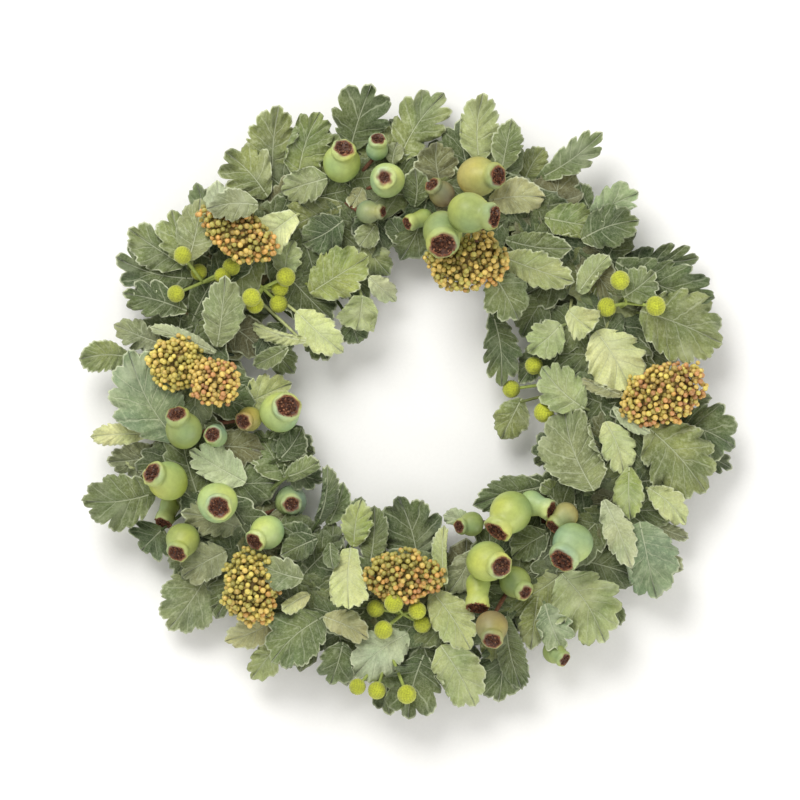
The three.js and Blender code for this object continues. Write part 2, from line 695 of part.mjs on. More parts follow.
// A square-section wire through points in one plane, with mitred bends
function bendBar(points, radius) {
  const side = new THREE.Vector3().subVectors(points[1], points[0])
    .cross(new THREE.Vector3().subVectors(points[2], points[1])).normalize();
  const corners = [];
  points.forEach((point, i) => {
    const before = new THREE.Vector3().subVectors(point, points[Math.max(i - 1, 0)]);
    const after = new THREE.Vector3().subVectors(points[Math.min(i + 1, points.length - 1)], point);
    const along = before.normalize().add(after.normalize()).normalize();
    const out = new THREE.Vector3().crossVectors(along, side).normalize();
    const cosine = i === 0 || i === points.length - 1 ? 1 : Math.sqrt((1 + before.dot(after)) / 2);
    for (const [u, v] of [[1, 1], [-1, 1], [-1, -1], [1, -1]]) {
      const corner = point.clone().addScaledVector(out, (u * radius) / cosine);
      corners.push(...corner.addScaledVector(side, v * radius).toArray());
    }
  });
  const index = [];
  for (let i = 0; i + 1 < points.length; i++) {
    for (let j = 0; j < 4; j++) {
      const next = (j + 1) % 4;
      const [a, b, c, d] = [4 * i + j, 4 * i + next, 4 * i + 4 + next, 4 * i + 4 + j];
      index.push(a, b, c, a, c, d);
    }
  }
  const end = 4 * (points.length - 1);
  index.push(0, 2, 1, 0, 3, 2, end, end + 1, end + 2, end, end + 2, end + 3);
  return meshSolid(corners, index);
}

// Hanging eye: a closed wire loop on a crimp through which the outer wire of the ring passes
function eyeSolid(grow) {
  const loop = new THREE.TorusGeometry(EYE_RADIUS, EYE_WIRE + grow, 6, 14);
  loop.rotateX(Math.PI / 2);
  loop.translate(0, -EYE_DEPTH, EYE_Z);
  const crimp = new THREE.BoxGeometry(...CRIMP_SIZE.map((size) => size + 2 * grow));
  crimp.translate(0, -CRIMP_DEPTH, CRIMP_Z);
  return solid(loop).add(solid(crimp));
}

// A seed pod: an urn on its axis, with a flared rim round a sunken mouth
function podSolid(pod, grow) {
  const { radius, mouth, reach } = pod;
  const rim = mouth + grow;
  const points = [
    [0, -radius - grow], [0.62 * radius + grow, -0.72 * radius], [radius + grow, -0.05 * radius],
    [0.74 * rim + 0.1 * radius, 0.72 * reach], [rim, reach + grow],
    [0, grow > 0 ? reach + grow : reach - 0.35 * rim],
  ];
  const lathe = new THREE.LatheGeometry(points.map(([r, y]) => new THREE.Vector2(r, y)), POD_SIDES);
  const turn = new THREE.Quaternion().setFromUnitVectors(new THREE.Vector3(0, 1, 0), pod.axis);
  lathe.applyQuaternion(turn);
  lathe.translate(...pod.middle.toArray());
  return solid(lathe);
}

function makePod([x, z, radius, mouthX, mouthZ, mouth]) {
  const offset = Math.hypot(mouthX - x, mouthZ - z);
  const reach = Math.max(POD_LENGTH * radius, 1.02 * offset);
  const forward = Math.sqrt(1 - (offset / reach) ** 2);
  const axis = new THREE.Vector3((mouthX - x) / reach, -forward, (mouthZ - z) / reach);
  return { x, z, radius, mouth, reach, axis, middle: place(x, z, layBall(x, z, radius, POD_PRESS)) };
}

// Where the arms of a spray meet: over its foot, behind its lowest ball or pod
function forkOf(spray, drop, least) {
  const lowest = Math.min(...spray.made.map((piece) => -piece.middle.y - piece.radius));
  return place(...spray.foot, Math.max(lowest - drop, least));
}

// A spray: pods on arms that meet at a fork, and one foot in the bundle
function podSpraySolid(spray, grow) {
  const root = rootOf(...spray.foot);
  const fork = forkOf(spray, BRANCH_FORK_DROP, BRANCH_FORK_LEAST);
  const top = place(...spray.foot, 1 - fork.y);
  const solids = [bar(polar(root.radius, root.angle, BRANCH_FOOT.depth), top, BRANCH_FOOT.radius + grow, 4)];
  for (const pod of spray.made) {
    solids.push(podSolid(pod, grow));
    const back = pod.middle.clone().addScaledVector(pod.axis, -POD_BACK * pod.radius);
    solids.push(bar(fork, back, BRANCH_RADIUS + grow, 3));
  }
  return join(solids);
}

// A berry head: a low dome whose surface is raised into rows of berries, on a stout stem
function headSolid(head, grow) {
  const { x, z, halfWidth, halfHeight, turn, under } = head;
  const rise = HEAD_DOME * Math.min(halfWidth, halfHeight);
  const dome = new THREE.SphereGeometry(1, HEAD_ROUND, HEAD_RINGS);
  dome.rotateX(-Math.PI / 2);
  const spots = dome.attributes.position;
  for (let i = 0; i < spots.count; i++) {
    const ring = Math.floor(i / (HEAD_ROUND + 1));
    const atPole = ring === 0 || ring === HEAD_RINGS;
    const raised = atPole || (ring + (i % (HEAD_ROUND + 1))) % 2 === 0;
    const share = grow > 0 || raised ? 1 : 1 - HEAD_BERRY_RELIEF;
    spots.setXYZ(i, share * spots.getX(i), share * spots.getY(i), share * spots.getZ(i));
  }
  dome.scale(halfWidth + grow, rise + grow, halfHeight + grow);
  dome.rotateY(-turn);
  dome.translate(x, -(under + HEAD_UNDERSIDE), z);
  const root = rootOf(x, z);
  const foot = polar(root.radius, root.angle, ROOT_DEPTH);
  const stem = bar(foot, place(x, z, under + HEAD_UNDERSIDE - 2), HEAD_STEM_RADIUS + grow, 4);
  return solid(dome).add(stem);
}

function makeHead(row) {
  const [x, z, halfWidth, halfHeight, degrees] = row;
  return { x, z, halfWidth, halfHeight, turn: THREE.MathUtils.degToRad(degrees), under: layHead(row) };
}

// A spray of button flowers: balls on thin stems that meet at one foot in the bundle
function buttonSpraySolid(spray, grow) {
  const root = rootOf(...spray.foot);
  const fork = forkOf(spray, BUTTON_FORK_DROP, BUTTON_FORK_LEAST);
  const top = place(...spray.foot, 1 - fork.y);
  const solids = [bar(polar(root.radius, root.angle, ROOT_DEPTH), top, BUTTON_FOOT_RADIUS + grow, 4)];
  for (const ball of spray.made) {
    const sphere = new THREE.IcosahedronGeometry(BUTTON_FULLNESS * ball.radius + grow, 0);
    sphere.translate(...ball.middle.toArray());
    solids.push(solid(sphere));
    solids.push(bar(fork, ball.middle, BUTTON_STEM_RADIUS + grow, 3));
  }
  return join(solids);
}

// Everything is laid on the pile in order, back to front
const random = seeded(SEED);
const leaves = [];
function layLeaves(rows) {
  for (const row of rows) {
    const leaf = makeLeaf(row, random);
    layLeaf(leaf);
    leaves.push(leaf);
  }
}
layLeaves(BACK_LEAVES);
layLeaves(MIDDLE_LEAVES);
const buttonSprays = BUTTON_SPRAYS.map(({ foot, balls }) => ({
  foot,
  made: balls.map(([x, z, size]) => {
    return { radius: size / 2, middle: place(x, z, layBall(x, z, size / 2, BUTTON_PRESS)) };
  }),
}));
const heads = HEADS.map(makeHead);
const podSprays = POD_SPRAYS.map(({ foot, pods }) => ({ foot, made: pods.map(makePod) }));
layLeaves(FRONT_LEAVES);

// Node order: an earlier node keeps its form, and a later one is cut clear of it
const nodes = [];
const boxesMeet = (a, b) => [0, 1, 2].every((k) => a.min[k] < b.max[k] && b.min[k] < a.max[k]);

// The largest body of a solid: loose scraps are dropped, and sealed hollows are filled
function largestBody(whole) {
  const bodies = whole.decompose();
  return bodies.reduce((best, body) => (body.volume() > best.volume() ? body : best), bodies[0]);
}

function geometryOf(body) {
  const mesh = body.getMesh();
  const geometry = new THREE.BufferGeometry();
  geometry.setAttribute("position", new THREE.BufferAttribute(new Float32Array(mesh.vertProperties), 3));
  geometry.setIndex(new THREE.BufferAttribute(new Uint32Array(mesh.triVerts), 1));
  return geometry;
}

function clearOf(made, others) {
  const box = made.boundingBox();
  return others
    .filter((other) => boxesMeet(box, other.boundingBox()))
    .reduce((left, other) => left.subtract(other), made);
}

const addNode = (name, made, material) => nodes.push({ name, made, material });

const matt = (color, roughness) => new THREE.MeshStandardMaterial({ color, roughness, metalness: 0 });
const swollenNodes = [];

addNode("wire_frame", frameSolid(0), new THREE.MeshStandardMaterial({
  color: WIRE_COLOUR, roughness: 0.45, metalness: 0.6,
}));
swollenNodes.push(frameSolid(CLEARANCE));
addNode("hanging_eye", clearOf(eyeSolid(0), swollenNodes), new THREE.MeshStandardMaterial({
  color: EYE_COLOUR, roughness: 0.35, metalness: 1,
}));
swollenNodes.push(eyeSolid(CLEARANCE));

const trimmed = [];
function addTrimmed(name, pieces, makeSolid, color, roughness) {
  pieces.forEach((piece, i) => {
    const make = (grow) => makeSolid(piece, grow);
    trimmed.push({ name: `${name}_${i + 1}`, make, material: matt(color, roughness) });
  });
}
addTrimmed("pod_spray", podSprays, podSpraySolid, POD_COLOUR, 0.75);
addTrimmed("berry_head", heads, headSolid, BERRY_COLOUR, 0.7);
addTrimmed("button_spray", buttonSprays, buttonSpraySolid, BUTTON_COLOUR, 0.9);
for (const { name, make, material } of trimmed) {
  const made = largestBody(clearOf(make(0), swollenNodes));
  addNode(name, made, material);
  swollenNodes.push(make(CLEARANCE));
}

// Bunches: leaves joined to their bundle, then cut clear of what they would cross in another node
const bunchLeaves = Array.from({ length: BUNCHES }, () => []);
for (const leaf of leaves) bunchLeaves[petioleRoot(leaf).bunch].push(leaf);
const bundles = bunchLeaves.map((_, bunch) => bundleSolid(bunch));
const swollenLeaves = [];
bunchLeaves.forEach((list, bunch) => {
  const others = [...swollenNodes, ...swollenLeaves, ...bundles.filter((_, i) => i !== bunch)];
  const grown = join([bundles[bunch], ...list.map((leaf) => leafSolid(leaf, 0))]);
  const whole = largestBody(clearOf(grown, others));
  const tone = list.length ? list[Math.floor(list.length / 2)].tone : "mid";
  addNode(`bunch_${String(bunch + 1).padStart(2, "0")}`, whole, matt(LEAF_COLOURS[tone], 0.9));
  for (const leaf of list) swollenLeaves.push(leafSolid(leaf, CLEARANCE));
});

// The finished group, moved so that the nail's bearing point is the origin
const wreath = new THREE.Group();
wreath.position.set(0, EYE_DEPTH, -NAIL_Z);
for (const { name, made, material } of nodes) {
  const geometry = geometryOf(largestBody(solid(geometryOf(made), WELD)));
  geometry.computeVertexNormals();
  const piece = new THREE.Mesh(geometry, material);
  piece.name = name;
  wreath.add(piece);
}

const part = new THREE.Group();
part.add(wreath);
export default part;
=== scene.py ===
"""Dusty miller wreath: fine foliage, pods, berries and button flowers, with wall, light and camera.

The laying rule and the rows of pieces are those of the part's own source, in millimetres on the
wreath: x to the right and z up from the middle of the ring, and depth in front of the wall. A few
pieces are then lifted, sunk or reshaped, and one front leaf is wider, to show as in the photo.
"""
import math
from types import SimpleNamespace

import bpy
import bmesh
import numpy as np
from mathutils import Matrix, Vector


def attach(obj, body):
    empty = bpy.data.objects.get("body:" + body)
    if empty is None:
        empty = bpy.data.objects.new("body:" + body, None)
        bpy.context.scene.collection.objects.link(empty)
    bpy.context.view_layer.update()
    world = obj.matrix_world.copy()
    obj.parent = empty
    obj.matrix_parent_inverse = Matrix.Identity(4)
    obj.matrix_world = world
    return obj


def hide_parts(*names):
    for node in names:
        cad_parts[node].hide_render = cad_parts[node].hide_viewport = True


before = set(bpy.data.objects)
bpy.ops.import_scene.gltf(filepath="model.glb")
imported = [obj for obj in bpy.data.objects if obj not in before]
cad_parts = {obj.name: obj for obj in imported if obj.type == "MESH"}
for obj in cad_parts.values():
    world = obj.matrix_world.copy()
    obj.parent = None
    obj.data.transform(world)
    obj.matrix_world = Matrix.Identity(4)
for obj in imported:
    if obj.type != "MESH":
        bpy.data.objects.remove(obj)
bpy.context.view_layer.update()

# Sizes shared with the part, in millimetres
MM = 0.001
RING_RADIUS = 168
RING_SPREAD = 13
WIRE_HALF = 2.4
WIRE_FLAT = 1.3
WIRE_DEPTH = 4.6
WIRE_SIDES = 120
WIRE_TURNS = [-0.15, 1.15]
WIRE_ROWS = 12
WIRE_WIDER = 1.15
WIRE_AXIS = 0.36
WIRE_FOOT = 0.8
BUNCHES = 12
BUNDLE_SIDE = [27, 5]
BUNDLE_DEPTH = 21
CLAMP_RADIUS = 1.2
CLAMP_SIDES = 10
CLAMP_SIDE = [28.7, 5.7]
CLAMP_CORNER = [15.8, 15.6]
CLAMP_SHARES = [0.12, 0.3, 0.5, 0.7, 0.88]
EYE_Z = 207
EYE_RADIUS = 8.2
EYE_WIRE = 1.6
EYE_DEPTH = 4.5
EYE_STEPS = 49
EYE_SIDES = 12
CRIMP_SIZE = [9, 6.2, 23]
CRIMP_DEPTH = 3.5
CRIMP_Z = 187.5
CRIMP_ROUND = 1.1
NAIL_Z = EYE_Z + EYE_RADIUS - EYE_WIRE
BLADE_THICKNESS = 1.1
PETIOLE_SLOPE = 0.35
PETIOLE_RUN = [4, 30]
ROOT_DEPTH = 23
ROOT_SPREAD = 12
ROOT_EASE = 30
ROOT_SPAN = 0.46
ROOT_OFF_CLAMP = 0.03
SEED = 20407

# The pile on which each piece is laid
CELL = 4
REACH = 280
CELLS = 2 * REACH // CELL
WALL_CLEARANCE = 9
BUNDLE_TOP = 38
LAYER_GAP = 1.8
BALL_SPOT_EDGE = 0.9
SPOT_SPACING = 3.5
BASE_LOWEST = 30
BASE_STEP = 2
BASE_CHOICES = 32
BASE_PART = 0.12
BASE_WEIGHT = 0.8
STEEP_SLOPE = 0.55
STEEP_WEIGHT = 3
MISFIT = 1000
BUTTON_PRESS = 1
POD_PRESS = 3
HEAD_PRESS = 6

# Outlines of the leaf kinds: [place along the blade, share of the half width]
OUTLINES = {
    "finger": [[0, 0.14], [0.22, 0.62], [0.33, 0.4], [0.52, 1], [0.64, 0.5], [0.84, 0.84], [1, 0.2]],
    "scallop": [[0, 0.16], [0.2, 0.72], [0.32, 0.62], [0.5, 1], [0.66, 0.8], [0.84, 0.74], [1, 0.2]],
    "broad": [[0, 0.16], [0.28, 0.82], [0.58, 1], [0.86, 0.66], [1, 0.14]],
    "narrow": [[0, 0.25], [0.35, 0.92], [0.76, 0.88], [1, 0.18]],
    "fold": [[0, 0.25], [0.32, 0.9], [0.75, 0.9], [1, 0.2]],
    "fan": [[0, 0.32], [0.4, 0.7], [0.8, 1], [1, 0.74]],
}
CAMBER = {"finger": 0.12, "scallop": 0.16, "broad": 0.2, "narrow": 0.2, "fold": 0.85, "fan": -0.1}
EDGE_LEAN = 0.22
BEND = [-0.07, 0.07]
ARCH = [0.05, 0.14]
WAVE = [0.018, 0.063]
WAVE_PHASE = [0, 2 * math.pi]
WAVE_TURNS = [1.6, 2.6]
TIP_DEPTH = [14, 38]
ROLL = [-0.15, 0.15]
ROOT_DEPTHS = [ROOT_DEPTH - 3, ROOT_DEPTH + 3]

# Finer form of the blades: the hull of each outline, where its tip starts to round, and its
# lobes and teeth as [length of one along the rim, share cut in]
HULLS = {
    "finger": [[0, 0.16], [0.25, 0.7], [0.55, 1], [1, 0.9]],
    "scallop": [[0, 0.16], [0.2, 0.72], [0.5, 1], [1, 0.75]],
    "broad": [[0, 0.16], [0.28, 0.82], [0.58, 1], [1, 0.72]],
    "narrow": [[0, 0.25], [0.35, 0.95], [0.76, 1], [1, 0.9]],
    "fold": [[0, 0.25], [0.32, 0.92], [0.75, 1], [1, 0.9]],
    "fan": [[0, 0.32], [0.4, 0.7], [0.8, 1], [1, 1]],
}
TIP_FROM = {"finger": 0.6, "scallop": 0.55, "broad": 0.5, "narrow": 0.6, "fold": 0.6, "fan": 0.75}
LOBES = {"finger": [15, 0.62], "scallop": [12.5, 0.4], "broad": [12, 0.22], "narrow": [9, 0.18],
         "fold": [9, 0.18], "fan": [10, 0.24]}
TEETH = {"finger": [6.2, 0.06], "scallop": [4.9, 0.09], "broad": [5.2, 0.09], "narrow": [4.6, 0.1],
         "fold": [4.6, 0.11], "fan": [4.6, 0.1]}
USUAL_WIDTH = 32
LOBE_GROWTH = 0.6
LOBE_SHARPNESS = 0.26
LOBE_STRETCH = [0.9, 1.15]
LOBE_WANDER = 0.4
LOBE_WANDER_PACE = 7
LOBE_DEPTHS = [0.75, 1.25]
LOBE_ONSET = 3.5
TOOTH_SHARPNESS = 0.7
TOOTH_WANDER = 3
MIDRIB_SHARE = 0.74
ROW_ANGLE = 1.36
ROW_TURN = 1.7
TIP_ROUNDING = 2.4
ROW_SAMPLES = 120
REACH_SAMPLES = 400
SMOOTHED_ROWS = 2
FEWEST_ROWS = 12
FEWEST_COLUMNS = 3
RIM_SPACING = 1.6
COLUMN_SPACING = 2.5
UNDER_COARSER = 1.9
BLADE_SPREAD = 1.08
FINE_THICKNESS = 0.8

# Petioles: radii from the ring to the blade, and where on the blade they end
PETIOLE_FINE = [1.6, 1.1]
PETIOLE_STEPS = 9
PETIOLE_SIDES = 7
PETIOLE_RISE = 0.2
PETIOLE_BOW = 0.6
NECK = 0.1
NECK_RISE = 0.4

# Waves start by chance, up to this many radians on
PHASE_SPAN = 6

# Ruffles of the edge, as a share of the width and their length, the fine crimp of the margin,
# how far the two edges and the tip curl to the front, and the quilting between the veins
RUFFLE = [0.033, 0.081]
RUFFLE_LENGTH = [14, 24]
RUFFLE_SHIFT = 2.4
CRIMP = 1.5
CRIMP_LENGTH = 6.8
CRIMP_SHIFT = 3
EDGE_CURL = [-0.14, 0.42]
CURL_FROM = 0.4
CURL_PACE = 5
CURL_EASE = 6
CURL_WAVE = [0.6, 0.4]
TIP_CURL = [-0.08, 0.2]
TIP_CURL_FROM = 0.6
QUILT = 1.3
QUILT_EASE = 4
GROOVE_DEPTH = 1.1
GROOVE_HALF = 1.7
FORM_ONSET = 5
UNDER_CALM = 0.35

# Uneven halves of a blade, and margins rolled over to the front: the share of the half width at
# which they turn, by chance or on fold leaves, the radius of the turn and the tones that have them
UNEVEN = [0.88, 1.06]
FOLD_LINE = [0.55, 0.8]
FULL_FOLD_LINE = [0.1, 0.45]
FOLD_RADIUS = 1.3
FOLD_SPRING = 0.2
FOLD_CHANCE = 0.4
FOLDED_TONES = ["silver", "sage", "light", "pale", "grey", "beige", "bright", "yellow", "blue",
                "cream"]

# Leaves as they lie: base x, base z, tip x, tip z, width, kind, tone
BACK_LEAVES = [
    [-165, 95, -226, 112, 42, "finger", "dark"],
    [-170, 70, -220, 84, 30, "finger", "dark"],
    [-172, 105, -216, 134, 34, "scallop", "mid"],
    [-158, 118, -164, 170, 26, "scallop", "mid"],
    [-170, 105, -182, 148, 34, "finger", "olive"],
    [-148, 130, -148, 172, 24, "broad", "frost"],
    [-105, 175, -100, 230, 40, "scallop", "olive"],
    [-85, 172, -68, 224, 40, "scallop", "bright"],
    [-45, 195, -28, 245, 46, "finger", "dark"],
    [-8, 185, 28, 240, 42, "finger", "olive"],
    [55, 185, 58, 238, 34, "scallop", "light"],
    [72, 178, 80, 218, 26, "broad", "mid"],
    [100, 172, 150, 208, 26, "finger", "mid"],
    [25, 168, 22, 200, 36, "scallop", "brown"],
    [5, 150, 5, 180, 24, "broad", "dark"],
    [-50, 140, -82, 122, 34, "broad", "dark"],
    [0, 120, -15, 142, 20, "narrow", "dark"],
    [140, 150, 133, 170, 18, "narrow", "dark"],
    [160, 108, 236, 80, 44, "finger", "dark"],
    [205, -15, 253, -35, 46, "finger", "dark"],
    [210, 5, 236, 3, 12, "narrow", "dark"],
    [190, -95, 218, -106, 12, "narrow", "grey"],
    [65, 70, 72, 12, 30, "finger", "dark"],
    [108, -65, 50, -80, 28, "broad", "dark"],
    [108, -101, 80, -120, 30, "broad", "dark"],
    [50, -95, 27, -88, 16, "narrow", "silver"],
    [163, -85, 180, -125, 24, "broad", "mid"],
    [155, -150, 165, -173, 14, "narrow", "dark"],
    [100, -150, 95, -192, 24, "broad", "olive"],
    [70, -185, 70, -233, 40, "scallop", "dark"],
    [12, -195, 0, -245, 50, "finger", "dark"],
    [50, -115, 30, -148, 26, "broad", "grey"],
    [8, -128, -8, -73, 54, "scallop", "dark"],
    [-50, -185, -60, -218, 34, "finger", "dark"],
    [-100, -185, -122, -215, 26, "scallop", "light"],
    [-98, -165, -142, -185, 26, "scallop", "beige"],
    [-150, -126, -186, -177, 50, "scallop", "sage"],
    [-190, -98, -207, -115, 40, "finger", "dark"],
    [-195, -70, -252, -76, 46, "scallop", "mid"],
    [-215, 35, -254, 33, 25, "narrow", "olive"],
    [-190, 45, -228, 60, 24, "scallop", "grey"],
    [-200, -25, -246, -27, 18, "narrow", "cream"],
    [-75, -115, -98, -95, 26, "broad", "dark"],
    [-70, -105, -98, -118, 24, "broad", "dark"],
    [-95, -60, -118, -22, 34, "scallop", "mid"],
    [-100, -45, -82, -20, 24, "broad", "dark"],
    [-45, 65, -38, 45, 24, "narrow", "dark"],
    [-75, 55, -62, 32, 28, "scallop", "dark"],
    [-95, 60, -116, 42, 24, "broad", "dark"],
    [-62, -95, -50, -62, 22, "broad", "mid"],
    [-42, -102, -36, -73, 16, "narrow", "dark"],
]
MIDDLE_LEAVES = [
    [-178, -30, -215, 40, 56, "scallop", "blue"],
    [-108, 158, -141, 193, 42, "finger", "olive"],
    [-168, 108, -160, 157, 34, "scallop", "sage"],
    [-190, -52, -220, -44, 14, "narrow", "light"],
    [-148, 38, -199, 58, 14, "fold", "silver"],
    [-62, 172, -98, 162, 30, "scallop", "sage"],
    [-12, 183, -8, 200, 16, "narrow", "grey"],
    [-35, 165, -45, 150, 18, "narrow", "beige"],
    [-25, 137, -38, 120, 20, "narrow", "sage"],
    [62, 155, 106, 158, 32, "broad", "beige"],
    [105, 140, 145, 141, 26, "scallop", "bright"],
    [140, 145, 178, 162, 30, "finger", "blue"],
    [133, 125, 178, 140, 36, "scallop", "dark"],
    [178, 70, 243, 45, 56, "scallop", "olive"],
    [165, 80, 190, 100, 30, "scallop", "mid"],
    [131, 84, 155, 113, 24, "fold", "light"],
    [75, 125, 126, 118, 26, "broad", "mid"],
    [72, 112, 128, 92, 30, "scallop", "light"],
    [65, 98, 85, 63, 38, "scallop", "mid"],
    [118, 60, 92, 38, 34, "scallop", "light"],
    [145, 55, 172, 8, 46, "scallop", "cream"],
    [125, 70, 137, 56, 20, "fold", "pale"],
    [166, 5, 133, 18, 14, "fold", "beige"],
    [88, 3, 72, -29, 30, "broad", "olive"],
    [185, -20, 230, -70, 58, "scallop", "olive"],
    [152, -15, 166, -57, 30, "scallop", "pale"],
    [158, -4, 186, -24, 12, "fold", "silver"],
    [185, -66, 215, -95, 26, "scallop", "pale"],
    [178, -92, 192, -152, 52, "scallop", "blue"],
    [170, -50, 171, -91, 24, "broad", "yellow"],
    [150, -75, 172, -128, 26, "scallop", "silver"],
    [142, -68, 120, -2, 54, "scallop", "sage"],
    [118, -132, 152, -186, 58, "scallop", "light"],
    [105, -155, 120, -192, 34, "finger", "blue"],
    [120, -72, 102, -63, 16, "narrow", "bright"],
    [75, -165, 88, -222, 22, "narrow", "dark"],
    [25, -187, 52, -235, 42, "scallop", "light"],
    [18, -145, 48, -190, 34, "scallop", "light"],
    [28, -140, 28, -95, 18, "fold", "light"],
    [0, -178, -42, -212, 38, "scallop", "frost"],
    [-65, -165, -105, -200, 44, "scallop", "mid"],
    [-65, -165, -30, -182, 26, "scallop", "beige"],
    [-76, -148, -97, -160, 16, "fold", "cream"],
    [-42, -112, -36, -75, 26, "scallop", "yellow"],
    [-80, -135, -113, -124, 28, "scallop", "sage"],
    [-140, -115, -175, -135, 34, "scallop", "grey"],
    [-128, -98, -175, -85, 28, "scallop", "grey"],
    [-125, -62, -168, -37, 32, "scallop", "silver"],
    [-95, -58, -68, -45, 22, "fold", "mid"],
    [-70, -95, -62, -48, 20, "fold", "dark"],
    [-133, -5, -90, 15, 32, "scallop", "pale"],
    [-88, 140, -116, 127, 22, "fold", "cream"],
    [-95, 97, -88, 125, 26, "scallop", "light"],
    [-76, 84, -30, 112, 42, "scallop", "yellow"],
    [-35, 82, -40, 55, 38, "fan", "light"],
    [-30, 96, -9, 78, 20, "scallop", "silver"],
    [-86, 70, -50, 38, 32, "scallop", "pale"],
    [-78, 47, -121, 60, 16, "fold", "pale"],
    [-92, 42, -120, 28, 16, "narrow", "mid"],
]
FRONT_LEAVES = [
    [-44, -112, -45, -158, 34, "fan", "pale"],
    [-147, 42, -140, 97, 34, "scallop", "sage"],
    [-114, 150, -153, 147, 26, "scallop", "grey"],
    [136, -5, 103, 27, 36, "scallop", "light"],
    [-60, -108, -57, -128, 14, "narrow", "mid"],
]

# Seed pods by spray: body x, body z, body radius, mouth x, mouth z, mouth radius, skin
POD_SPRAYS = [
    [[-54, 158], [
        [-51, 183, 14.5, -49, 194, 6.5, "lime"], [-24, 194, 8.5, -23, 202, 5, "blue"],
        [-16, 170, 13.5, -18, 171, 4, "pale"], [-31, 146, 9, -19, 146, 3.5, "grey"]]],
    [[48, 152], [
        [12, 142, 7, -1, 137, 4.5, "lime"], [26, 160, 10, 18, 167, 5, "brown"],
        [53, 173, 15.5, 69, 173, 7, "blush"], [26, 130, 15, 26, 118, 9, "green"],
        [45, 143, 15.5, 65, 139, 7.5, "green"]]],
    [[-144, -16], [
        [-172, -22, 14, -177, -9, 6.5, "green"], [-148, -26, 9, -150, -25, 5, "blue"],
        [-122, -13, 9.5, -127, -15, 5, "amber"], [-99, -8, 15.5, -92, -3, 8, "pale"]]],
    [[-150, -66], [
        [-184, -61, 15, -196, -54, 6.5, "lime"], [-173, -106, 13, -177, -116, 6, "green"],
        [-185, -80, 8, -190, -94, 6.5, "lime"], [-146, -77, 15.5, -144, -80, 7, "pale"]]],
    [[-116, -90], [
        [-91, -77, 12.5, -90, -79, 5, "blue"], [-108, -100, 13, -118, -107, 6, "pale"]]],
    [[118, -92], [
        [49, -94, 9.5, 39, -96, 4.5, "green"], [95, -78, 10, 110, -83, 5.5, "pale"],
        [121, -87, 10, 111, -96, 5.5, "blush"], [79, -84, 16, 67, -99, 8, "lime"],
        [126, -108, 15.5, 117, -121, 8.5, "blue"]]],
    [[84, -134], [
        [82, -138, 12, 90, -146, 4.5, "green"], [64, -172, 12.5, 64, -182, 6, "brown"],
        [54, -140, 9.5, 53, -158, 8, "lime"], [60, -122, 15.5, 71, -125, 7, "lime"],
        [113, -193, 9, 121, -199, 4.5, "green"]]],
]
POD_LENGTH = 1.4
POD_TILT = 1.14
POD_COLLAR = 1.38
POD_SIDES = 30
POD_BACK = 0.75
POD_ASKEW = [0.2, 0.9, 0.35]
BRANCH_RADII = [2.5, 2]
BRANCH_DEPTH = 21
BRANCH_FORK_DROP = 9
BRANCH_FORK_LEAST = 35
TWIG_RADII = [1.9, 1.5]
TWIG_SAG = 0.12
STALK_STEPS = 6
TWIG_STEPS = 8

# Outline of a pod. The collar is a share of the mouth and an edge in millimetres, within shares of
# the body and the mouth. The waist is at most these shares of the collar and the body, and the lip
# at most these of the neck's rise and the collar. The shoulder is turned by a part of a half turn.
COLLAR_EDGE = 0.5
COLLAR_LEAST = 0.68
COLLAR_MOST = [0.96, 1.12]
WAIST_MOST = [0.92, 0.86]
SHOULDER_TURN = [0.07, 0.22]
SHOULDER_EARLY = 0.06
BODY_ROWS = 16
UPPER_BODY = 1.1
NECK_ROWS = np.array([0.25, 0.5, 0.75, 1])
NECK_EASE = 1.3
LIP_MOST = [0.62, 1.1]
LIP_ROWS = 6
LIP_EDGE = 1.03
LIP_ROUNDING = 0.8
LIP_CURL = 0.6
LIP_FOOT = 0.35
LIP_FOOT_DROP = 0.82
LIP_WAVY_FROM = 3
MOUTH_ROWS = [[0.97, 0.07], [0.86, 0.16], [0.5, 0.2], [0.2, 0.18]]

# Waves round a pod's body and lip, and how its lip and mouth are shaded
POD_WAVE = 0.02
LIP_WAVES = [0.06, 0.04]
LIP_DROP = 0.4
LIP_FRAY = [0.4, 0.3]
LIP_PALE = 0.15
MOUTH_SHADE = 0.6

# Crumbs in the mouths of the pods and on their fringes, as shares of the mouth's radius. Their
# number is a least one and so many more to a millimetre of that radius.
MOUTH_SUNK = 0.24
CRUMB_NUMBER = [30, 9]
PALE_CRUMB_SHARE = 0.7
PALE_CRUMB_FROM = 0.85
CRUMB_FIELD = 0.9
CRUMB_SIZES = [0.06, 0.13]
CRUMB_SUNK = [0.2, 0.04]
FRINGE_REACH = [0.92, 1.06]
FRINGE_SIZES = [0.05, 0.11]
FRINGE_NUMBER = [24, 5]
FRINGE_PALE = 0.5
FRINGE_SUNK = 0.05

# Berry heads: x, z, half width, half height, turn in degrees, colours of its berries
HEADS = [
    [-130, 130, 30, 18, -35, ["olive", "orange", "gold", "olive"]],
    [-178, 30, 20, 19, 0, ["lemon", "gold", "olive", "gold"]],
    [-148, 15, 18, 17, 0, ["gold", "gold", "pink", "lemon"]],
    [45, 107, 30, 21, 8, ["olive", "gold", "gold", "orange"]],
    [196, 6, 33, 21, 22, ["gold", "lemon", "pink", "orange"]],
    [-4, -134, 29, 19, 0, ["olive", "gold", "orange", "pink"]],
    [-120, -142, 21, 27, 0, ["olive", "lemon", "gold", "orange"]],
]
HEAD_DOME = 0.62
HEAD_UNDERSIDE = 7
HEAD_SPOTS = 20
HEAD_SPOT_EDGE = 0.95
HEAD_MIDDLE = 0.6
HEAD_STEM_RADII = [2.6, 2.4, 2.2, 2, 1.9, 1.8]
HEAD_CORE = 0.74

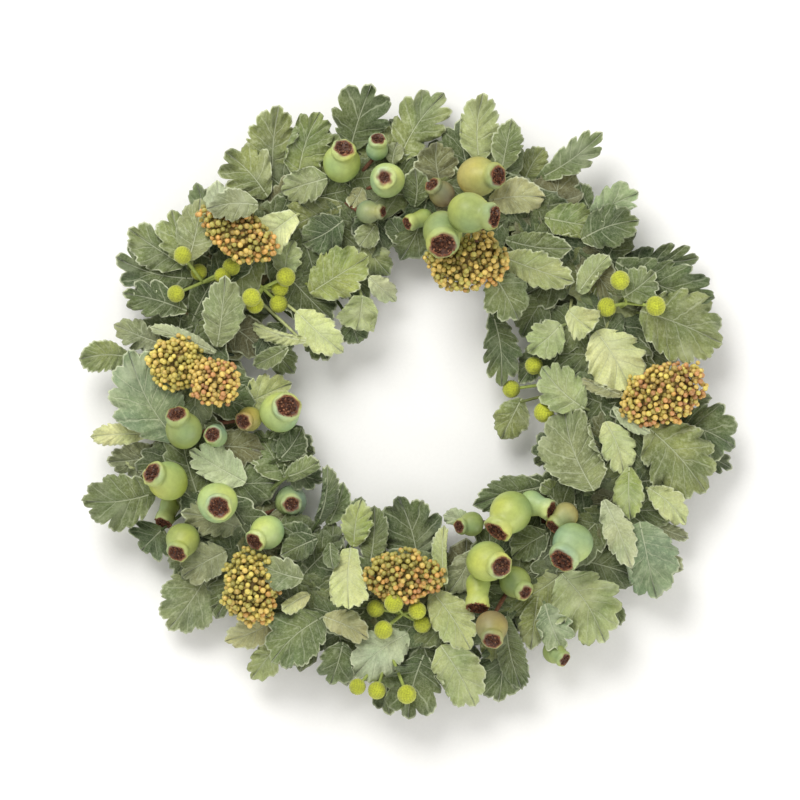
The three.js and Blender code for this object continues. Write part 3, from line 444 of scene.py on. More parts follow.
# Berries, in layers of [share of the head's size, spacing, brightness]; the inner layer is darker, as
# painted shade deep in the head
BERRY_LAYERS = [[1, 4.4, 1], [0.82, 4.1, 0.6]]
BERRY_RADIUS = 2.1
BERRY_SIZES = [0.84, 1.1]
BERRY_CROWDING = 1.05
BERRY_LOWEST = -0.28
BERRY_JITTER = [0.13, 0.16, 0.42]
BERRY_STALKS = 0.13

# Bumps in a head's outline, and how the order of its colours goes with the place and by chance
HEAD_BUMPS = [0.06, 0.05]
COLOUR_MIDDLE = 1.3
COLOUR_SLANT = 0.5
COLOUR_CHANCE = 3.2

# Button flowers by spray: x, z, diameter
BUTTON_SPRAYS = [
    [[-158, 92], [[-172, 112, 14], [-161, 100, 13], [-178, 83, 13.5], [-136, 104, 14], [-143, 97, 13]]],
    [[-112, 88], [[-118, 75, 14], [-120, 80, 14.5], [-99, 88, 14], [-94, 96, 15], [-100, 76, 14.5]]],
    [[168, 76], [[162, 93, 15], [153, 73, 15], [189.5, 73.5, 15.5]]],
    [[108, 14], [[97, 28, 14], [80, 10, 14], [105, -8, 16]]],
    [[-4, -163], [[-25, -159, 14], [7, -160, 14], [-11, -154, 15], [11, -171, 14], [-19, -175, 14.5]]],
    [[-14, -192], [[-39, -219, 13], [-24, -222, 14], [-1, -224.5, 15]]],
]
BUTTON_STALK_RADII = [1.9, 1.4]
BUTTON_STEM_RADII = [1.3, 1.3]
BUTTON_STEM_SAG = 0.1
BUTTON_FORK_DROP = 7
BUTTON_FORK_LEAST = 31
BUTTON_FORK_UNDER = 4
BUTTON_SWELL = 1.03
FLORETS = 150
FLORET_REACH = 0.56
FLORET_RELIEF = 0.8
# Painted shade and highlight: the florets' colour is this first share in the gaps between them, and lighter
# by the second on their tops
FLORET_PAINTED_SHADE = [0.62, 0.5]

# Pieces moved to the front from where the pile leaves them, by their x and z, and leaves with
# another run, width and kind, so that they show as in the photo
LIFTED_LEAVES = {
    (-80, -135): 17, (118, 60): 12, (125, 70): 5, (-88, 140): 4, (105, 140): 3, (-190, -98): -12,
}
RESHAPED_LEAVES = {
    (-88, 140): [-86, 144, -114, 122, 34, "fan"],
    (105, 140): [105, 142, 151, 134, 32, "scallop"],
    (125, 70): [123, 70.5, 142, 55, 30, "fan"],
}
LIFTED_BUTTONS = {(-99, 88): 20, (-100, 76): 19, (-11, -154): 15, (80, 10): 10}
LIFTED_PODS = {(113, -193): -16}

# Stem bundles: a core and a shell of stems round it, as [half width, half depth]
BUNCH_OVERLAP = 0.02
BUNDLE_ROWS = 9
BUNDLE_SIDES = 16
BUNDLE_CORE = [0.86 * BUNDLE_SIDE[0], 11.6]
BUNDLE_SHELL = np.array([26, 13])
BUNDLE_STEMS = 30
STEM_RADII = [1.9, 3]
STEM_CLOSE = [0.88, 0.96]
STEM_STRAY = 0.6
STEM_DRIFT = 0.25
STEM_SHORTER = 0.1
STEM_STEPS = 7
STEM_SIDES = 6
ASKEW = [0.31, 0.47, 0.83]

# Under leaves: a seeded bed of leaves between the stems and the leaves above them, by
# [how many, base radius, tip radius, turn round the ring to the tip, base and tip depth]
UNDER_BEDS = [
    [36, 168, 210, 0.05, 33, 17],
    [40, 172, 124, -0.06, 33, 18],
    [44, 160, 168, 0.36, 36, 34],
    [40, 178, 176, -0.38, 37, 34],
    [34, 176, 222, 0.10, 38, 24],
    [30, 158, 114, 0.12, 38, 26],
]
UNDER_KINDS = ["broad", "scallop", "finger", "scallop"]
UNDER_TONES = ["dark", "dark", "mid", "olive", "dark", "dark", "mid", "brown"]
UNDER_WIDTH = [30, 42]
UNDER_WANDER = 0.06
UNDER_RUN = 5
UNDER_BASE_STRAY = 2
UNDER_TIP_STRAY = 3
# Painted shade: the colour of the under and fill leaves is darkened by these shares, because they lie in
# shade under the others
UNDER_PAINTED_SHADE = 0.76
FILL_PAINTED_SHADE = 0.86
BED_ARCH = 0.6
HIDE_MARGIN = 2

# Leaves that fill the gaps between the bunches: a leaf row, then base and tip depth
FILL_LEAVES = [
    [-95, 100, -58, 62, 40, "scallop", "dark", 34, 26],
    [-60, 110, -30, 78, 34, "scallop", "mid", 36, 30],
    [-35, 125, -14, 98, 24, "broad", "olive", 34, 28],
    [-118, 58, -88, 22, 30, "scallop", "dark", 32, 22],
    [118, 50, 86, 14, 26, "broad", "dark", 34, 26],
    [110, 85, 88, 50, 28, "scallop", "mid", 34, 26],
    [125, -30, 98, -48, 34, "scallop", "dark", 34, 24],
    [-190, -38, -234, -46, 28, "scallop", "grey", 30, 20],
    [165, 112, 226, 112, 30, "finger", "dark", 30, 18],
    [-96, -48, -66, -62, 26, "scallop", "dark", 34, 24],
    [-108, -28, -72, -40, 30, "scallop", "dark", 32, 24],
    [-30, -128, -26, -80, 22, "narrow", "mid", 34, 24],
    [185, -112, 214, -130, 24, "scallop", "grey", 30, 20],
    [88, 165, 106, 198, 22, "narrow", "olive", 30, 18],
    [215, -30, 252, -52, 20, "finger", "dark", 28, 18],
    [-62, -120, -58, -92, 22, "broad", "dark", 33, 26],
    [-15, -205, -14, -244, 26, "finger", "dark", 28, 16],
    [-120, 142, -140, 172, 26, "scallop", "sage", 30, 20],
]

# Colours as seen, sRGB, and the share of them that the surfaces have in this light
LIGHT_SHARE = 0.98
LEAF_GLOW = (166, 172, 92)
LEAF_WARMTH = [1.1, 1.07, 0.96]
LEAF_PALE = (222, 228, 192)
LEAF_UNDER = (200, 208, 176)
LEAF_TONES = {
    "dark": (69, 85, 52), "mid": (93, 108, 68), "light": (152, 164, 114), "blue": (122, 142, 112),
    "silver": (168, 180, 148), "yellow": (138, 154, 88), "beige": (158, 158, 116),
    "brown": (104, 104, 74), "olive": (106, 118, 72), "grey": (119, 126, 95),
    "bright": (98, 116, 68), "sage": (120, 131, 92), "pale": (184, 194, 140),
    "cream": (206, 212, 158), "frost": (172, 184, 156),
}
POD_SKINS = {
    "green": [(138, 152, 84), (158, 170, 96)], "lime": [(158, 175, 90), (180, 190, 108)],
    "blue": [(134, 162, 122), (164, 182, 126)], "pale": [(162, 186, 116), (188, 202, 132)],
    "grey": [(128, 146, 108), (150, 154, 110)], "blush": [(172, 160, 98), (158, 168, 96)],
    "brown": [(136, 118, 90), (142, 144, 86)], "amber": [(168, 174, 92), (168, 146, 88)],
}
BERRIES = {
    "gold": (208, 180, 98), "orange": (206, 160, 88), "pink": (196, 144, 92),
    "lemon": (212, 194, 100), "olive": (174, 164, 84),
}
POD_BLOOM = (204, 216, 172)
POD_BLOTCH = np.array([1.22, 1.12, 0.82])
# Mouth colours: dark, crumb and edge; the dark inside the mouth is partly its own colour and partly painted
# shade in the hollow
MOUTH = [(60, 40, 32), (112, 70, 50), (166, 118, 88)]
BARK = (106, 74, 56)
GREEN_STEM = (150, 164, 84)
BUTTON = (185, 192, 52)
STEM_TONES = [(96, 104, 62), (112, 100, 66), (84, 92, 60), (124, 114, 80)]
# Painted shade: the colour of the dark core that shows between the berries
HEAD_CORE_PAINTED_SHADE = (110, 92, 50)
LACQUER = (54, 66, 50)
BRIGHT_WIRE = (150, 152, 154)
WALL_PAINT = (251, 250, 248)
PLAIN = (1, 1, 1)

# How the colours vary: shades by chance, soft patches with their size, and green patches that
# are stronger on some tones
LEAF_SHADES = [0.86, 1.14]
WARM_SPREAD = 0.09
MOTTLE = [0.14, 0.09, 0.12]
MOTTLE_SIZE = 34
MARGIN_PALER = 0.2
MARGIN_FROM = 0.6
LEAF_GLOWS = {"yellow": 0.4, "bright": 0.4, "olive": 0.35, "pale": 0.22}
USUAL_GLOW = 0.14
GLOW_MIDDLE = 0.4
GLOW_SWING = 0.9
GLOW_SIZE = 48
PATCH_WAVES = 4
PATCH_PACES = [0.7, 1.5]
PATCH_SPREAD = 3
PETIOLE_DIM = 0.8
PETIOLE_GREEN = (60, 60, 20)
PETIOLE_GREEN_SHARE = 0.3
STEM_SHADES = [0.8, 1.2]
# Painted shade: the core under the stems is darkened by this share
BUNDLE_CORE_PAINTED_SHADE = 0.5
POD_NECK_FADE = 1.5
POD_BLOOM_SHARE = 0.09
BERRY_SHADES = [0.78, 1.22]
BUTTON_SHADES = [0.86, 1.1]

# Scales of the maps that the leaf material reads, and the span of a noise that is used
BLADE_MAP = 0.1
BLADE_MAP_TAPER = 1.5
RIM_MAP = 10
NOISE_SPAN = [0.3, 0.7]

# Wall and floor in metres, the part of the photo's plane that the camera sees in millimetres
# and metres, and round area lights as name, place, width, watts and colour
WALL_Y = 0.0048
ROOM = 4.0
FLOOR_Z = -1.5
PHOTO_MIDDLE = [-6.2, 1.5]
PHOTO_SPAN = 0.616
CAMERA_DISTANCE = 3.0
FOLIAGE_DEPTH = 0.04
SENSOR = 36.0
WREATH_MIDDLE = (0, 0, -NAIL_Z * MM)
LIGHTS = [
    ["key", (-0.65, -1.75, 1.15), 1.4, 42, (1.0, 0.995, 0.98)],
    ["low_fill", (1.5, -0.62, -1.3), 0.9, 12, (1.0, 1.0, 0.99)],
]
AMBIENT_COLOUR = (1, 1, 0.99, 1)
AMBIENT_STRENGTH = 0.57


def linear(colour):
    """An sRGB colour of 0 to 255 as linear light."""
    share = np.asarray(colour, float) / 255
    return np.where(share <= 0.04045, share / 12.92, ((share + 0.055) / 1.055) ** 2.4)


def paint(colour):
    """A colour as seen in the light of the scene, as the surface's own linear colour."""
    return LIGHT_SHARE * linear(colour)


def seeded(seed):
    """Seeded random numbers from 0 to 1, the same stream as in the part's source."""
    state = seed

    def draw():
        nonlocal state
        state = (state + 0x6D2B79F5) & 0xFFFFFFFF
        t = state
        t = ((t ^ (t >> 15)) * (t | 1)) & 0xFFFFFFFF
        t ^= (t + (((t ^ (t >> 7)) * (t | 61)) & 0xFFFFFFFF)) & 0xFFFFFFFF
        return ((t ^ (t >> 14)) & 0xFFFFFFFF) / 4294967296

    return draw


def between(draw, ends):
    return ends[0] + (ends[1] - ends[0]) * draw()


def wave_phase(draw):
    return PHASE_SPAN * draw()


def place(x, z, depth):
    """Places on the wreath as points of the frame, in metres."""
    x, z, depth = np.broadcast_arrays(x, z, depth)
    return np.stack([x, EYE_DEPTH - depth, z - NAIL_Z], axis=-1) * MM


def polar(radius, angle, depth):
    return np.array([radius * math.cos(angle), radius * math.sin(angle), depth])


def round_angles(sides):
    return np.arange(sides) * 2 * np.pi / sides


# The pile, laid as in the part's source
heights = np.full(CELLS * CELLS, float(WALL_CLEARANCE))
cell_middles = (np.arange(CELLS) + 0.5) * CELL - REACH
on_ring = abs(np.hypot(cell_middles[None, :], cell_middles[:, None]) - RING_RADIUS) < BUNDLE_SIDE[0]
heights[on_ring.ravel()] = BUNDLE_TOP


def cells_at(x, z):
    return (np.floor((z + REACH) / CELL) * CELLS + np.floor((x + REACH) / CELL)).astype(int)


def raise_to(x, z, depth):
    np.maximum.at(heights, cells_at(x, z), depth)


def aim_leaf(leaf, base_x, base_z, tip_x, tip_z, width, kind):
    """Gives a leaf its run, width and kind."""
    leaf.base_x, leaf.base_z, leaf.width, leaf.kind = base_x, base_z, width, kind
    leaf.length = math.hypot(tip_x - base_x, tip_z - base_z)
    leaf.along = [(tip_x - base_x) / leaf.length, (tip_z - base_z) / leaf.length]


def make_leaf(row, draw):
    leaf = SimpleNamespace(tone=row[6], base=0, tip=0, painted_shade=1)
    aim_leaf(leaf, *row[:6])
    leaf.bend, leaf.arch = between(draw, BEND) * leaf.length, between(draw, ARCH) * leaf.length
    leaf.wave, leaf.phase = between(draw, WAVE) * leaf.width, between(draw, WAVE_PHASE)
    leaf.turns, leaf.least_tip = between(draw, WAVE_TURNS), between(draw, TIP_DEPTH)
    leaf.roll, leaf.root_depth = between(draw, ROLL), between(draw, ROOT_DEPTHS)
    return leaf


def leaf_shape(leaf, t, s, share):
    """Where t along and s across fall on a leaf: x, z and the height over its straight line."""
    half = 0.5 * leaf.width * share
    side = abs(s)
    forward = leaf.length * t + EDGE_LEAN * side * half * (1 - t)
    out = s * half + leaf.bend * np.sin(np.pi * t)
    x = leaf.base_x + leaf.along[0] * forward - leaf.along[1] * out
    z = leaf.base_z + leaf.along[1] * forward + leaf.along[0] * out
    ripple = leaf.wave * side * np.sin(leaf.turns * 2 * np.pi * t + leaf.phase + s)
    over = (leaf.arch * np.sin(np.pi * t) - CAMBER[leaf.kind] * side * half
            + leaf.roll * s * half * np.sin(np.pi * t) + ripple)
    return x, z, over


def leaf_depth(leaf, t, over):
    return leaf.base + (leaf.tip - leaf.base) * t + over


def lay_leaf(leaf):
    """Lays a leaf on the pile as low as its base and tip can go."""
    outline = np.array(OUTLINES[leaf.kind])
    rows = math.ceil(leaf.length / SPOT_SPACING)
    columns = math.ceil(leaf.width / SPOT_SPACING)
    t = np.repeat(np.arange(rows + 1) / rows, columns + 1)
    s = np.tile(2 * np.arange(columns + 1) / columns - 1, rows + 1)
    x, z, over = leaf_shape(leaf, t, s, np.interp(t, outline[:, 0], outline[:, 1]))
    need = heights[cells_at(x, z)] + LAYER_GAP - over
    at_base = t < BASE_PART
    best = math.inf
    for step in range(BASE_CHOICES):
        base = BASE_LOWEST + step * BASE_STEP
        tips = (need[~at_base] - base * (1 - t[~at_base])) / t[~at_base]
        tip = max(leaf.least_tip, tips.max())
        steep = max(0, abs(tip - base) - STEEP_SLOPE * leaf.length)
        fits = base >= need[at_base].max()
        cost = BASE_WEIGHT * base + tip + STEEP_WEIGHT * steep + (0 if fits else MISFIT)
        if cost < best:
            best, leaf.base, leaf.tip = cost, base, tip
    raise_to(x, z, leaf_depth(leaf, t, over) + BLADE_THICKNESS)
    return leaf


def lay_ball(x, z, radius, press):
    """Lowest depth of a ball's middle over the pile."""
    steps = -radius + CELL * np.arange(int(2 * radius / CELL) + 1)
    dx, dz = [grid.ravel() for grid in np.meshgrid(steps, steps, indexing="ij")]
    off = np.hypot(dx, dz)
    kept = off <= BALL_SPOT_EDGE * radius
    dx, dz, rise = dx[kept], dz[kept], np.sqrt(radius ** 2 - off[kept] ** 2)
    middle = max(0, (heights[cells_at(x + dx, z + dz)] + LAYER_GAP + rise - press).max())
    raise_to(x + dx, z + dz, middle + rise)
    return middle


def lay_head(x, z, half_width, half_height, turn):
    """Lowest depth of a head's flat underside over the pile."""
    steps = HEAD_SPOT_EDGE * (2 * np.arange(HEAD_SPOTS) / (HEAD_SPOTS - 1) - 1)
    u, v = [grid.ravel() for grid in np.meshgrid(steps, steps, indexing="ij")]
    off = np.hypot(u, v)
    kept = off <= HEAD_SPOT_EDGE
    u, v, off = u[kept], v[kept], off[kept]
    sx = x + u * half_width * math.cos(turn) - v * half_height * math.sin(turn)
    sz = z + u * half_width * math.sin(turn) + v * half_height * math.cos(turn)
    press = np.where(off < HEAD_MIDDLE, 0, HEAD_PRESS)
    under = max(0, (heights[cells_at(sx, sz)] + LAYER_GAP - press).max())
    rise = HEAD_DOME * min(half_width, half_height)
    raise_to(sx, sz, under + HEAD_UNDERSIDE + rise * np.sqrt(1 - off ** 2))
    return under


def root_of(x, z):
    """Where a stem from above a spot roots: its bunch, and the angle and radius on the ring."""
    step = 2 * math.pi / BUNCHES
    angle = math.atan2(z, x)
    sector = math.floor(angle / step)
    middle = (sector + 0.5) * step
    off = angle - middle
    widest = ROOT_SPAN * step
    kept = ROOT_OFF_CLAMP + (widest - ROOT_OFF_CLAMP) * math.tanh(abs(off) / widest)
    radius = RING_RADIUS + ROOT_SPREAD * math.tanh((math.hypot(x, z) - RING_RADIUS) / ROOT_EASE)
    return sector % BUNCHES, middle + math.copysign(kept, off), radius


def petiole_root(leaf):
    back = min(max(PETIOLE_SLOPE * (leaf.base - ROOT_DEPTH), PETIOLE_RUN[0]), PETIOLE_RUN[1])
    return root_of(leaf.base_x - leaf.along[0] * back, leaf.base_z - leaf.along[1] * back)


def make_button(x, z, size):
    middle = np.array([x, z, lay_ball(x, z, size / 2, BUTTON_PRESS)])
    return SimpleNamespace(middle=middle, radius=size / 2)


def make_pod(x, z, radius, mouth_x, mouth_z, mouth, skin):
    offset = math.hypot(mouth_x - x, mouth_z - z)
    reach = max(POD_LENGTH * radius, POD_TILT * offset)
    axis = np.array([(mouth_x - x) / reach, (mouth_z - z) / reach, math.sqrt(1 - (offset / reach) ** 2)])
    middle = np.array([x, z, lay_ball(x, z, radius, POD_PRESS)])
    return SimpleNamespace(middle=middle, radius=radius, mouth=mouth, reach=reach, axis=axis, skin=skin)


def make_head(x, z, half_width, half_height, degrees, colours):
    turn = math.radians(degrees)
    under = lay_head(x, z, half_width, half_height, turn)
    rise = HEAD_DOME * min(half_width, half_height)
    return SimpleNamespace(middle=np.array([x, z, under + HEAD_UNDERSIDE]), turn=turn, colours=colours,
                           half=np.array([half_width, half_height, rise]))


def lift_balls(sprays, lifts):
    """Moves the balls or pods that are named by their x and z to the front."""
    for _, spray in sprays:
        for ball in spray:
            ball.middle[2] += lifts.get((ball.middle[0], ball.middle[1]), 0)


leaf_draw = seeded(SEED)
leaves = [lay_leaf(make_leaf(row, leaf_draw)) for row in BACK_LEAVES + MIDDLE_LEAVES]
for leaf in leaves:
    spot = (leaf.base_x, leaf.base_z)
    lift = LIFTED_LEAVES.get(spot, 0)
    leaf.base, leaf.tip = leaf.base + lift, leaf.tip + lift
    if spot in RESHAPED_LEAVES:
        aim_leaf(leaf, *RESHAPED_LEAVES[spot])
button_sprays = [[foot, [make_button(*row) for row in balls]] for foot, balls in BUTTON_SPRAYS]
heads = [make_head(*row) for row in HEADS]
pod_sprays = [[foot, [make_pod(*row) for row in pods]] for foot, pods in POD_SPRAYS]
lift_balls(button_sprays, LIFTED_BUTTONS)
lift_balls(pod_sprays, LIFTED_PODS)
leaves += [lay_leaf(make_leaf(row, leaf_draw)) for row in FRONT_LEAVES]
fine_draw = seeded(SEED + 1)


class Mesh:
    """Gathers triangles with a colour for each corner point, two maps and a material number."""

    def __init__(self):
        self.points, self.faces, self.tints, self.blade, self.rim, self.surface = [], [], [], [], [], []
        self.count = 0

    def add(self, points, faces, tint, surface=0, blade=None, rim=None):
        number = len(points)
        self.points.append(points)
        self.faces.append(np.asarray(faces) + self.count)
        self.tints.append(np.broadcast_to(tint, (number, 3)))
        self.blade.append(np.zeros((number, 2)) if blade is None else blade)
        self.rim.append(np.ones((number, 2)) if rim is None else rim)
        self.surface.append(np.full(len(faces), surface))
        self.count += number

    def add_closed(self, points, faces, tint, surface=0):
        """Adds a closed form in wreath places, turned to face out."""
        a, b, c = points[faces[:, 0]], points[faces[:, 1]], points[faces[:, 2]]
        volume = np.einsum("ij,ij->i", a - points.mean(0), np.cross(b - a, c - a)).sum()
        self.add(place(*points.T), faces[:, ::-1] if volume > 0 else faces, tint, surface)

    def make(self, name, materials, node):
        points = np.concatenate(self.points)
        faces = np.concatenate(self.faces)
        mesh = bpy.data.meshes.new(name)
        mesh.vertices.add(len(points))
        mesh.vertices.foreach_set("co", points.ravel())
        mesh.loops.add(3 * len(faces))
        mesh.loops.foreach_set("vertex_index", faces.ravel())
        mesh.polygons.add(len(faces))
        mesh.polygons.foreach_set("loop_start", 3 * np.arange(len(faces)))
        mesh.polygons.foreach_set("material_index", np.concatenate(self.surface))
        mesh.polygons.foreach_set("use_smooth", np.ones(len(faces), bool))
        tint = mesh.color_attributes.new("tint", "FLOAT_COLOR", "POINT")
        tints = np.concatenate([np.concatenate(self.tints), np.ones((len(points), 1))], axis=1)
        tint.data.foreach_set("color", tints.ravel())
        for map_name, values in (("blade", self.blade), ("rim", self.rim)):
            layer = mesh.uv_layers.new(name=map_name)
            layer.data.foreach_set("uv", np.concatenate(values)[faces.ravel()].ravel())
        mesh.update()
        mesh.validate()
        piece = bpy.data.objects.new(name, mesh)
        bpy.context.scene.collection.objects.link(piece)
        for material in materials:
            mesh.materials.append(material)
        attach(piece, "root")
        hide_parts(node)


def grid_faces(rows, columns, closed=False, looped=False):
    """Triangles of a grid of points: closed joins its columns' ends, looped its last row to its first."""
    i, j = np.meshgrid(np.arange(rows if looped else rows - 1),
                       np.arange(columns if closed else columns - 1), indexing="ij")
    i, j = i.ravel(), j.ravel()
    below, k = (i + 1) % rows, (j + 1) % columns
    a, b, c, d = i * columns + j, i * columns + k, below * columns + k, below * columns + j
    return np.concatenate([np.stack([a, b, c], 1), np.stack([a, c, d], 1)])


def cap_faces(middle, ring):
    """Triangles from a ring of point numbers to one in the middle."""
    return np.stack([np.full(len(ring), middle), ring, np.roll(ring, -1)], 1)


def add_rings(mesh, rings, spine, tint, surface):
    """A closed skin over rows of points round a spine, with both ends shut."""
    rows, sides = rings.shape[:2]
    points = np.concatenate([rings.reshape(-1, 3), spine[:1], spine[-1:]])
    j = np.arange(sides)
    faces = np.concatenate([grid_faces(rows, sides, True), cap_faces(rows * sides, j)[:, [0, 2, 1]],
                            cap_faces(rows * sides + 1, (rows - 1) * sides + j)])
    mesh.add_closed(points, faces, tint, surface)


def add_tube(mesh, spine, radii, tint, surface, sides=8):
    """A round tube along points in wreath places, with a radius at each, and closed ends."""
    spine = np.asarray(spine, float)
    run = np.gradient(spine, axis=0)
    run /= np.linalg.norm(run, axis=1, keepdims=True)
    out = np.cross(run, ASKEW)
    out /= np.linalg.norm(out, axis=1, keepdims=True)
    up = np.cross(run, out)
    angle = round_angles(sides)[None, :, None]
    ring = np.cos(angle) * out[:, None] + np.sin(angle) * up[:, None]
    radii = np.broadcast_to(radii, len(spine))[:, None, None]
    add_rings(mesh, spine[:, None] + ring * radii, spine, tint, surface)


def curve(start, middle, end, steps):
    start, middle, end = [np.asarray(point) for point in (start, middle, end)]
    t = np.linspace(0, 1, steps)[:, None]
    return (1 - t) ** 2 * start + 2 * t * (1 - t) * middle + t ** 2 * end


def blade_rows(leaf, spacing):
    """Rows of a blade that fan out from the midrib: start, way and reach to the hull, even on the rim."""
    t = np.linspace(0, 1, ROW_SAMPLES)
    start = MIDRIB_SHARE * leaf.length * t
    way = ROW_ANGLE * (1 - t ** ROW_TURN)
    reach = np.linspace(0, leaf.length, REACH_SAMPLES)[:, None]
    forward = (start + reach * np.cos(way)) / leaf.length
    hull = np.array(HULLS[leaf.kind])
    past = np.clip((forward - TIP_FROM[leaf.kind]) / (1 - TIP_FROM[leaf.kind]), 0, 1)
    widest = 0.5 * BLADE_SPREAD * leaf.width
    limit = widest * np.interp(forward, *hull.T) * np.sqrt(1 - past ** TIP_ROUNDING)
    outside = (reach * np.sin(way) > limit) | (forward > 1.001)
    outside[-1] = True
    far = reach[np.maximum(outside.argmax(axis=0) - 1, 1), 0]
    window = 2 * SMOOTHED_ROWS + 1
    far = np.convolve(np.pad(far, SMOOTHED_ROWS, mode="edge"), np.full(window, 1 / window), mode="valid")
    rim = np.stack([start + far * np.cos(way), far * np.sin(way)], 1)
    arc = np.concatenate([[0], np.cumsum(np.hypot(*np.diff(rim, axis=0).T))])
    rows = max(FEWEST_ROWS, math.ceil(arc[-1] / spacing))
    at = np.linspace(0, arc[-1], rows + 1)
    return [np.interp(at, arc, values) for values in (start, way, far, arc)]


def cut_rim(leaf, arc, draw):
    """The number of the lobe at each row, counted back from the tip, and the reach its notches leave."""
    back = 1 - arc / arc[-1]
    from_tip = arc[-1] - arc
    large = (leaf.width / USUAL_WIDTH) ** LOBE_GROWTH
    (lobe_length, lobe_cut), (tooth_length, tooth_cut) = LOBES[leaf.kind], TEETH[leaf.kind]
    lobe = 0.5 + from_tip / (lobe_length * large * between(draw, LOBE_STRETCH))
    lobe = lobe + LOBE_WANDER * back * np.sin(LOBE_WANDER_PACE * back + wave_phase(draw))
    notch = 1 - np.abs(np.sin(np.pi * lobe)) ** LOBE_SHARPNESS
    uneven = TOOTH_WANDER * back * draw()
    tooth = 1 - np.abs(np.cos(np.pi * from_tip / tooth_length + uneven)) ** TOOTH_SHARPNESS
    deep = between(draw, LOBE_DEPTHS) * lobe_cut * np.clip(LOBE_ONSET * (1 - back), 0, 1)
    return lobe, (1 - deep * notch) * (1 - tooth_cut / large * tooth)


def patches(x, z, draw, size):
    """Soft patches from -1 to 1, a few waves laid across each other."""
    total = 0
    for _ in range(PATCH_WAVES):
        angle, phase = 2 * math.pi * draw(), 2 * math.pi * draw()
        pace = between(draw, PATCH_PACES) * 2 * math.pi / size
        total = total + np.sin(pace * (x * math.cos(angle) + z * math.sin(angle)) + phase)
    return total / PATCH_SPREAD


def fold_over(leaf, lateral, draw):
    """Rolls one margin over to the front where the leaf is folded: places across and the lift."""
    chance, side, line = draw(), 1 if draw() < 0.5 else -1, between(draw, FOLD_LINE)
    if leaf.kind == "fold":
        line = between(draw, FULL_FOLD_LINE)
    elif chance > FOLD_CHANCE or leaf.tone not in FOLDED_TONES:
        return lateral, 0
    past = np.clip(side * lateral - 0.5 * line * leaf.width, 0, None)
    turn = np.minimum(past / FOLD_RADIUS, np.pi)
    beyond = np.maximum(past - np.pi * FOLD_RADIUS, 0)
    across = side * (FOLD_RADIUS * np.sin(turn) - beyond - past)
    return lateral + across, FOLD_RADIUS * (1 - np.cos(turn)) + FOLD_SPRING * beyond


def blade_height(leaf, u, s, lateral, lobe, arc, draw, lively):
    """Height of a blade to the front: its straight line and arch, ruffles, curled edges and veins."""
    side, off = abs(s), abs(lateral)
    right = np.where(s > 0, 1.0, 0.0)
    bow = np.sin(np.pi * np.clip(u, 0, 1))
    ripple = leaf.wave * side * np.sin(leaf.turns * 2 * np.pi * u + leaf.phase + s)
    over = leaf.arch * bow - CAMBER[leaf.kind] * off + leaf.roll * lateral * bow + ripple
    wave = np.sin(np.pi * lobe + wave_phase(draw))
    pace = 2 * np.pi / between(draw, RUFFLE_LENGTH)
    wave = wave + np.sin(pace * arc + RUFFLE_SHIFT * right + wave_phase(draw))
    ruffle = leaf.width * between(draw, RUFFLE) * side ** 2 * wave
    crimp_turn = 2 * np.pi * arc / CRIMP_LENGTH + CRIMP_SHIFT * right + wave_phase(draw)
    crimp = CRIMP * side ** 5 * np.sin(crimp_turn)
    left_curl, right_curl = between(draw, EDGE_CURL), between(draw, EDGE_CURL)
    edge = np.clip((side - CURL_FROM) / (1 - CURL_FROM), 0, 1) ** 2
    edge = edge * (CURL_WAVE[0] + CURL_WAVE[1] * np.sin(CURL_PACE * u + wave_phase(draw)))
    curl = 0.5 * leaf.width * edge * (left_curl + (right_curl - left_curl) * right)
    curl = curl * np.clip(off / CURL_EASE, 0, 1)
    near_tip = np.clip((u - TIP_CURL_FROM) / (1 - TIP_CURL_FROM), 0, 1)
    tip = leaf.length * between(draw, TIP_CURL) * near_tip ** 2
    quilt = QUILT * np.cos(np.pi * lobe) ** 2 * np.clip(2 * side, 0, 1) * np.clip(off / QUILT_EASE, 0, 1)
    groove = GROOVE_DEPTH * np.exp(-(lateral / GROOVE_HALF) ** 2)
    form = lively * (ruffle + crimp + curl + tip) + quilt - groove
    return leaf_depth(leaf, u, over) + form * np.clip(FORM_ONSET * u, 0, 1)


def blade_tint(leaf, x, z, side, draw):
    """The blade's colour at each point: its tone with soft patches, greener along the midrib."""
    # Painted shade: leaves of the under bed and the fill are darkened by their share of painted shade
    shade = between(draw, LEAF_SHADES) * leaf.painted_shade
    warm = WARM_SPREAD * (draw() - 0.5)
    base = paint(LEAF_TONES[leaf.tone]) * shade * LEAF_WARMTH * np.array([1 + warm, 1, 1 - warm])
    mottle = patches(x, z, draw, MOTTLE_SIZE)[:, None] * MOTTLE + 1
    tint = base * mottle * (1 + MARGIN_PALER * (side - MARGIN_FROM))[:, None]
    most = LEAF_GLOWS.get(leaf.tone, USUAL_GLOW)
    glow = np.clip(GLOW_MIDDLE + GLOW_SWING * patches(x, z, draw, GLOW_SIZE), 0, 1)[:, None] * most
    return base, tint * (1 - glow) + paint(LEAF_GLOW) * glow


def rim_loop(rows, columns):
    """Numbers of the points round the outside of a grid, in turn."""
    return np.concatenate([
        np.arange(columns), np.arange(1, rows) * columns + columns - 1,
        (rows - 1) * columns + np.arange(columns - 2, -1, -1), np.arange(rows - 2, 0, -1) * columns])


